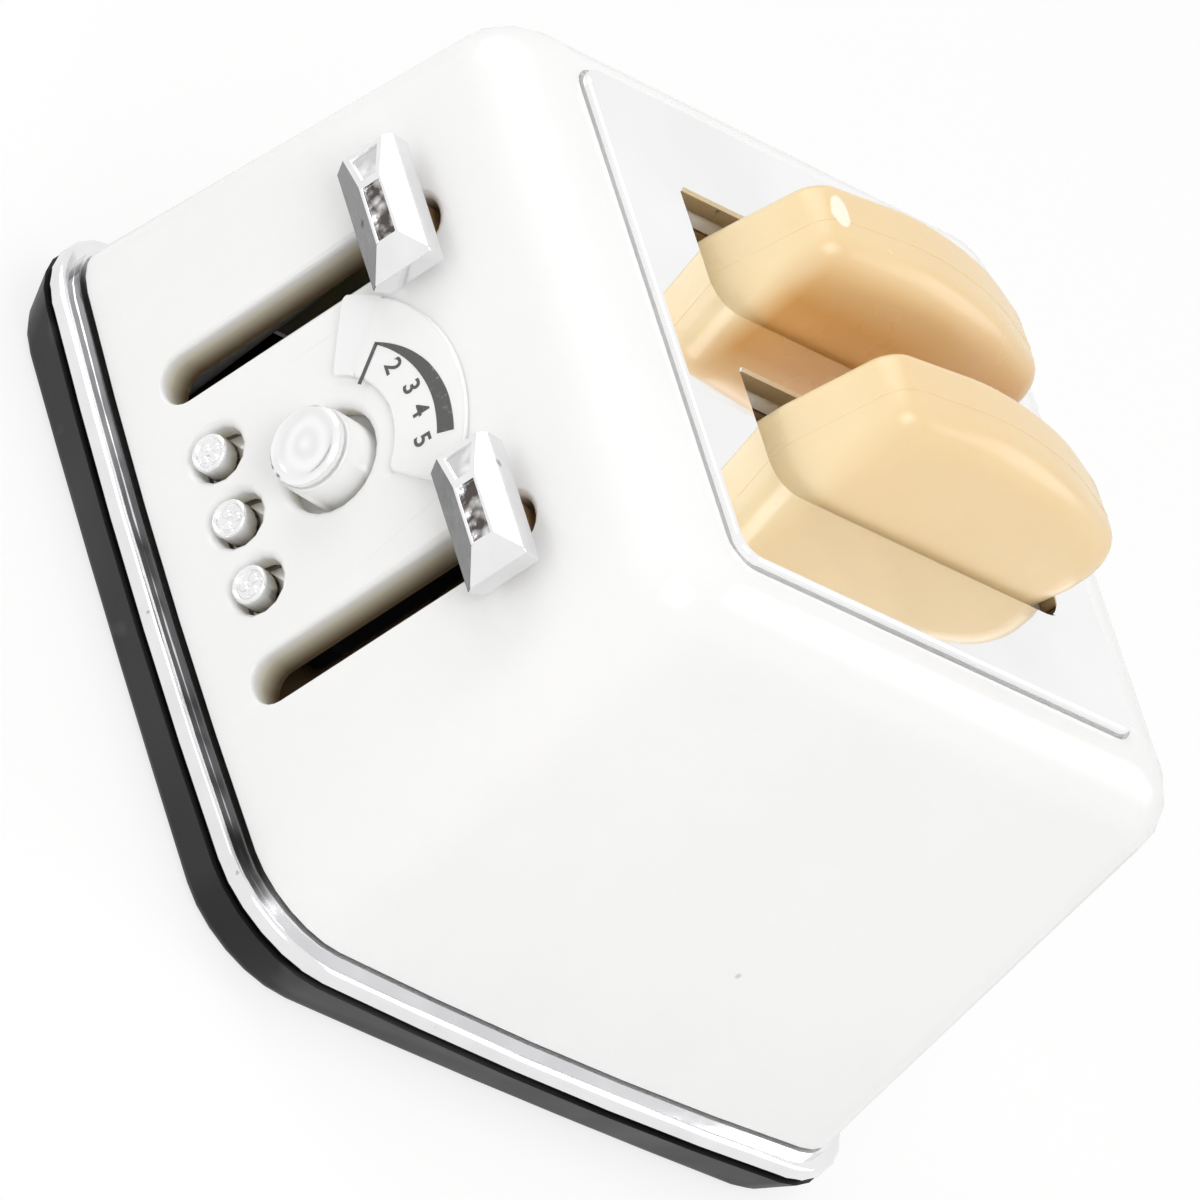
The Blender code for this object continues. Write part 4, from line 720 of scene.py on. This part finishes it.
def makeLeverKnob(side):
    near = leverKnob["standoff"]
    far = near + leverKnob["deep"]
    tall = leverKnob["tall"] / 2
    half = leverKnob["length"] / 2
    section = [(-tall + leverKnob["backChamfer"], near), (tall, near), (tall, near + leverKnob["topDeep"]),
               (tall - leverKnob["topChamfer"], far), (-tall + leverKnob["lowChamfer"], far),
               (-tall, near + leverKnob["footDeep"])]
    bm = bmesh.new()
    start = bm.faces.new([bm.verts.new(Vector((-half, v, n)) * mm) for v, n in section])
    made = bmesh.ops.extrude_face_region(bm, geom=[start])["geom"]
    verts = [part for part in made if isinstance(part, bmesh.types.BMVert)]
    bmesh.ops.translate(bm, vec=Vector((2 * half, 0, 0)) * mm, verts=verts)
    for sign, (chamfer, drop) in leverKnob["ends"].items():
        cutEnd(bm, Vector((sign * (half - chamfer), 0, far)) * mm, Vector((sign * drop, 0, chamfer)).normalized())
    bmesh.ops.recalc_face_normals(bm, faces=bm.faces)
    # Downward-facing facets take the painted dark reflection
    for face in bm.faces:
        if face.normal.y < -0.3:
            face.material_index = 1
    front = [face for face in bm.faces if face.normal.z > 0.99][0]
    slope = [face for face in bm.faces if -0.9 < face.normal.x < -0.1 and face.normal.z > 0.5][0]
    sinkWindow(bm, front, leverKnob["frame"] * mm, leverKnob["sink"] * mm, 2)
    sinkWindow(bm, slope, leverKnob["slopeFrame"] * mm, leverKnob["slopeSink"] * mm, 3)
    bmesh.ops.recalc_face_normals(bm, faces=bm.faces)
    sign = 1 if side == "right" else -1
    bmesh.ops.transform(bm, matrix=onFront(sign * leverKnob["spacing"] / 2, leverKnob["rest"]), verts=bm.verts)
    item = addPiece(side + "_lever_bar", bm, materials["lever_chrome"], side + "_lever", 20.0)
    for material in (leverUnderDarkReflection, leverWindow, leverSlope):
        item.data.materials.append(material)
    softenEdges(item, 0.06, 3)
    weighNormals(item)
    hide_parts(side + "_lever_knob")
    return item


for side in ("left", "right"):
    makeLeverKnob(side)
print("lever knobs ready")

# Buttons: a plated pin with a rim and a few raised beads, in mm
buttonPin = {
    "profile": [(0.0, -2.05), (1.72, -2.05), (1.72, -1.55), (1.00, -1.55), (1.00, 0.14), (0.98, 0.24), (0.92, 0.31),
                (0.84, 0.33), (0.76, 0.28), (0.70, 0.16), (0.45, 0.12), (0.0, 0.11)], "offset": -0.22,
    "spacing": 4.0, "height": 8.9, "steps": 48,
    "beads": {"left": (4, 0.42, 0.24, 20.0), "middle": (3, 0.38, 0.26, 75.0), "right": (3, 0.38, 0.28, 10.0)},
    "beadHeight": 0.13,
}


def makeButton(word, index):
    bm = bmesh.new()
    verts = [bm.verts.new(Vector((radius, 0, height)) * mm) for radius, height in buttonPin["profile"]]
    edges = [bm.edges.new(pair) for pair in zip(verts, verts[1:])]
    bmesh.ops.spin(bm, geom=verts + edges, cent=(0, 0, 0), axis=(0, 0, 1), angle=2 * math.pi,
                   steps=buttonPin["steps"], use_merge=True)
    bmesh.ops.remove_doubles(bm, verts=bm.verts, dist=0.0005 * mm)
    bmesh.ops.recalc_face_normals(bm, faces=bm.faces)
    count, ring, radius, turn = buttonPin["beads"][word]
    places = [(ring * math.cos(math.radians(turn) + 2 * math.pi * step / count),
               ring * math.sin(math.radians(turn) + 2 * math.pi * step / count), radius) for step in range(count)]
    for x, y, size in places:
        place = Matrix.Translation(Vector((x, y, buttonPin["beadHeight"])) * mm)
        shape = place @ Matrix.Diagonal((size * mm, size * mm, size * 0.5 * mm, 1))
        bmesh.ops.create_icosphere(bm, subdivisions=3, radius=1.0, matrix=shape)
    bmesh.ops.transform(bm, matrix=onFront(index * buttonPin["spacing"], buttonPin["height"] + buttonPin["offset"]), verts=bm.verts)
    item = addPiece(word + "_button_face", bm, materials["button_chrome"], word + "_button_pin")
    weighNormals(item)
    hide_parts(word + "_button")
    return item


for word, index in (("left", -1), ("middle", 0), ("right", 1)):
    makeButton(word, index)
print("buttons ready")

# Browning scale: printed line, swelling band and numbers; radii and heights in mm, angles in degrees
dialPrint = {
    "across": 0.47, "centre": 14.62, "surface": 0.303, "thick": 0.012,
    "line": (135.0, 4.05, 6.25), "lineWidth": 0.22,
    "band": [(135.0, 6.12, 6.25), (120.0, 6.17, 6.58), (104.0, 6.26, 6.93), (87.0, 6.36, 7.22), (70.0, 6.40, 7.38)],
    "numbers": [("2", 119.0), ("3", 100.5), ("4", 85.5), ("5", 68.6)],
    "numberRadius": 5.52, "numberHeight": 0.98, "numberBold": 0.024,
}


def polar(radius, deg, n):
    angle = math.radians(deg)
    return Vector((radius * math.cos(angle), radius * math.sin(angle), n)) * mm


def thicken(bm, faces):
    made = bmesh.ops.extrude_face_region(bm, geom=faces)["geom"]
    verts = [part for part in made if isinstance(part, bmesh.types.BMVert)]
    bmesh.ops.translate(bm, vec=Vector((0, 0, dialPrint["thick"] * mm)), verts=verts)
    bmesh.ops.recalc_face_normals(bm, faces=bm.faces)


def addPrint(name, bm):
    bmesh.ops.transform(bm, matrix=onFront(dialPrint["across"], dialPrint["centre"]), verts=bm.verts)
    return addPiece(name, bm, dialInk, "root", 30.0)


def makeDialPrint():
    surface = dialPrint["surface"]
    bm = bmesh.new()
    deg, inner, outer = dialPrint["line"]
    across = Vector((-math.sin(math.radians(deg)), math.cos(math.radians(deg)), 0)) * dialPrint["lineWidth"] / 2 * mm
    low, high = polar(inner, deg, surface), polar(outer, deg, surface)
    line = bm.faces.new([bm.verts.new(point) for point in (low - across, low + across, high + across, high - across)])
    thicken(bm, [line])
    addPrint("scale_line", bm)

    # The band grows from the line's end to the last number
    bm = bmesh.new()
    stops = dialPrint["band"]
    steps = 40
    radial = [bm.verts.new(polar(stops[0][index], stops[0][0], surface)) for index in (1, 2)]
    edge = bm.edges.new(radial)
    turn = math.radians(stops[-1][0] - stops[0][0])
    bmesh.ops.spin(bm, geom=radial + [edge], cent=(0, 0, 0), axis=(0, 0, 1), angle=turn, steps=steps, use_merge=False)
    middle = (stops[0][1] + stops[0][2]) / 2 * mm
    for vert in bm.verts:
        deg = math.degrees(math.atan2(vert.co.y, vert.co.x))
        radius = vert.co.to_2d().length
        for (first, innerA, outerA), (second, innerB, outerB) in zip(stops, stops[1:]):
            if second - 0.01 <= deg <= first + 0.01:
                share = (first - deg) / (first - second)
                wanted = innerA + (innerB - innerA) * share
                if radius > middle:
                    wanted = outerA + (outerB - outerA) * share
                vert.co = polar(wanted, deg, surface)
                break
    thicken(bm, list(bm.faces))
    addPrint("scale_band", bm)

    for number, deg in dialPrint["numbers"]:
        curve = bpy.data.curves.new("scale_number", "FONT")
        curve.body = number
        curve.size = dialPrint["numberHeight"] / 0.73 * mm
        curve.offset = dialPrint["numberBold"] * mm
        curve.align_x = "CENTER"
        curve.align_y = "CENTER"
        text = bpy.data.objects.new("scale_number", curve)
        bpy.context.scene.collection.objects.link(text)
        graph = bpy.context.evaluated_depsgraph_get()
        mesh = bpy.data.meshes.new_from_object(text.evaluated_get(graph))
        bm = bmesh.new()
        bm.from_mesh(mesh)
        bpy.data.objects.remove(text)
        bmesh.ops.remove_doubles(bm, verts=bm.verts, dist=0.0005 * mm)
        bmesh.ops.translate(bm, vec=polar(dialPrint["numberRadius"], deg, surface), verts=bm.verts)
        thicken(bm, list(bm.faces))
        addPrint("scale_number_" + number, bm)


makeDialPrint()

# The scale's raised plate runs on past the printed line, in mm and degrees
plateEnd = {"inner": 4.13, "outer": 8.27, "degrees": (138.5, 155.0), "high": 0.295, "low": -0.05, "round": 0.5,
            "edge": 0.10}


def makePlateEnd():
    bm = bmesh.new()
    first, last = plateEnd["degrees"]
    radial = [bm.verts.new(polar(plateEnd[label], first, plateEnd["low"])) for label in ("inner", "outer")]
    edge = bm.edges.new(radial)
    bmesh.ops.spin(bm, geom=radial + [edge], cent=(0, 0, 0), axis=(0, 0, 1), angle=math.radians(last - first),
                   steps=8, use_merge=False)
    made = bmesh.ops.extrude_face_region(bm, geom=list(bm.faces))["geom"]
    verts = [part for part in made if isinstance(part, bmesh.types.BMVert)]
    bmesh.ops.translate(bm, vec=Vector((0, 0, (plateEnd["high"] - plateEnd["low"]) * mm)), verts=verts)
    bmesh.ops.recalc_face_normals(bm, faces=bm.faces)
    end = [polar(plateEnd[label], last, 0).to_2d() for label in ("inner", "outer")]
    corners = [edge for edge in bm.edges if abs(edge.verts[0].co.z - edge.verts[1].co.z) > 0.1 * mm
               and min((edge.verts[0].co.to_2d() - point).length for point in end) < 0.01 * mm]
    bmesh.ops.bevel(bm, geom=corners, offset=plateEnd["round"] * mm, offset_type="OFFSET", segments=4, profile=0.5,
                    affect="EDGES", material=-1)
    bmesh.ops.transform(bm, matrix=onFront(0, 14.5), verts=bm.verts)
    item = addPiece("scale_plate_end", bm, materials["shell_white"], "root", 30.0)
    softenEdges(item, plateEnd["edge"])
    weighNormals(item)


makePlateEnd()
print("dial print ready")


def makeFloor():
    bm = bmesh.new()
    bmesh.ops.create_grid(bm, x_segments=8, y_segments=8, size=floorSheet["size"] / 2)
    mesh = bpy.data.meshes.new("floor")
    bm.to_mesh(mesh)
    bm.free()
    item = bpy.data.objects.new("floor", mesh)
    bpy.context.scene.collection.objects.link(item)
    mesh.materials.append(makeFloorMaterial())


makeFloor()
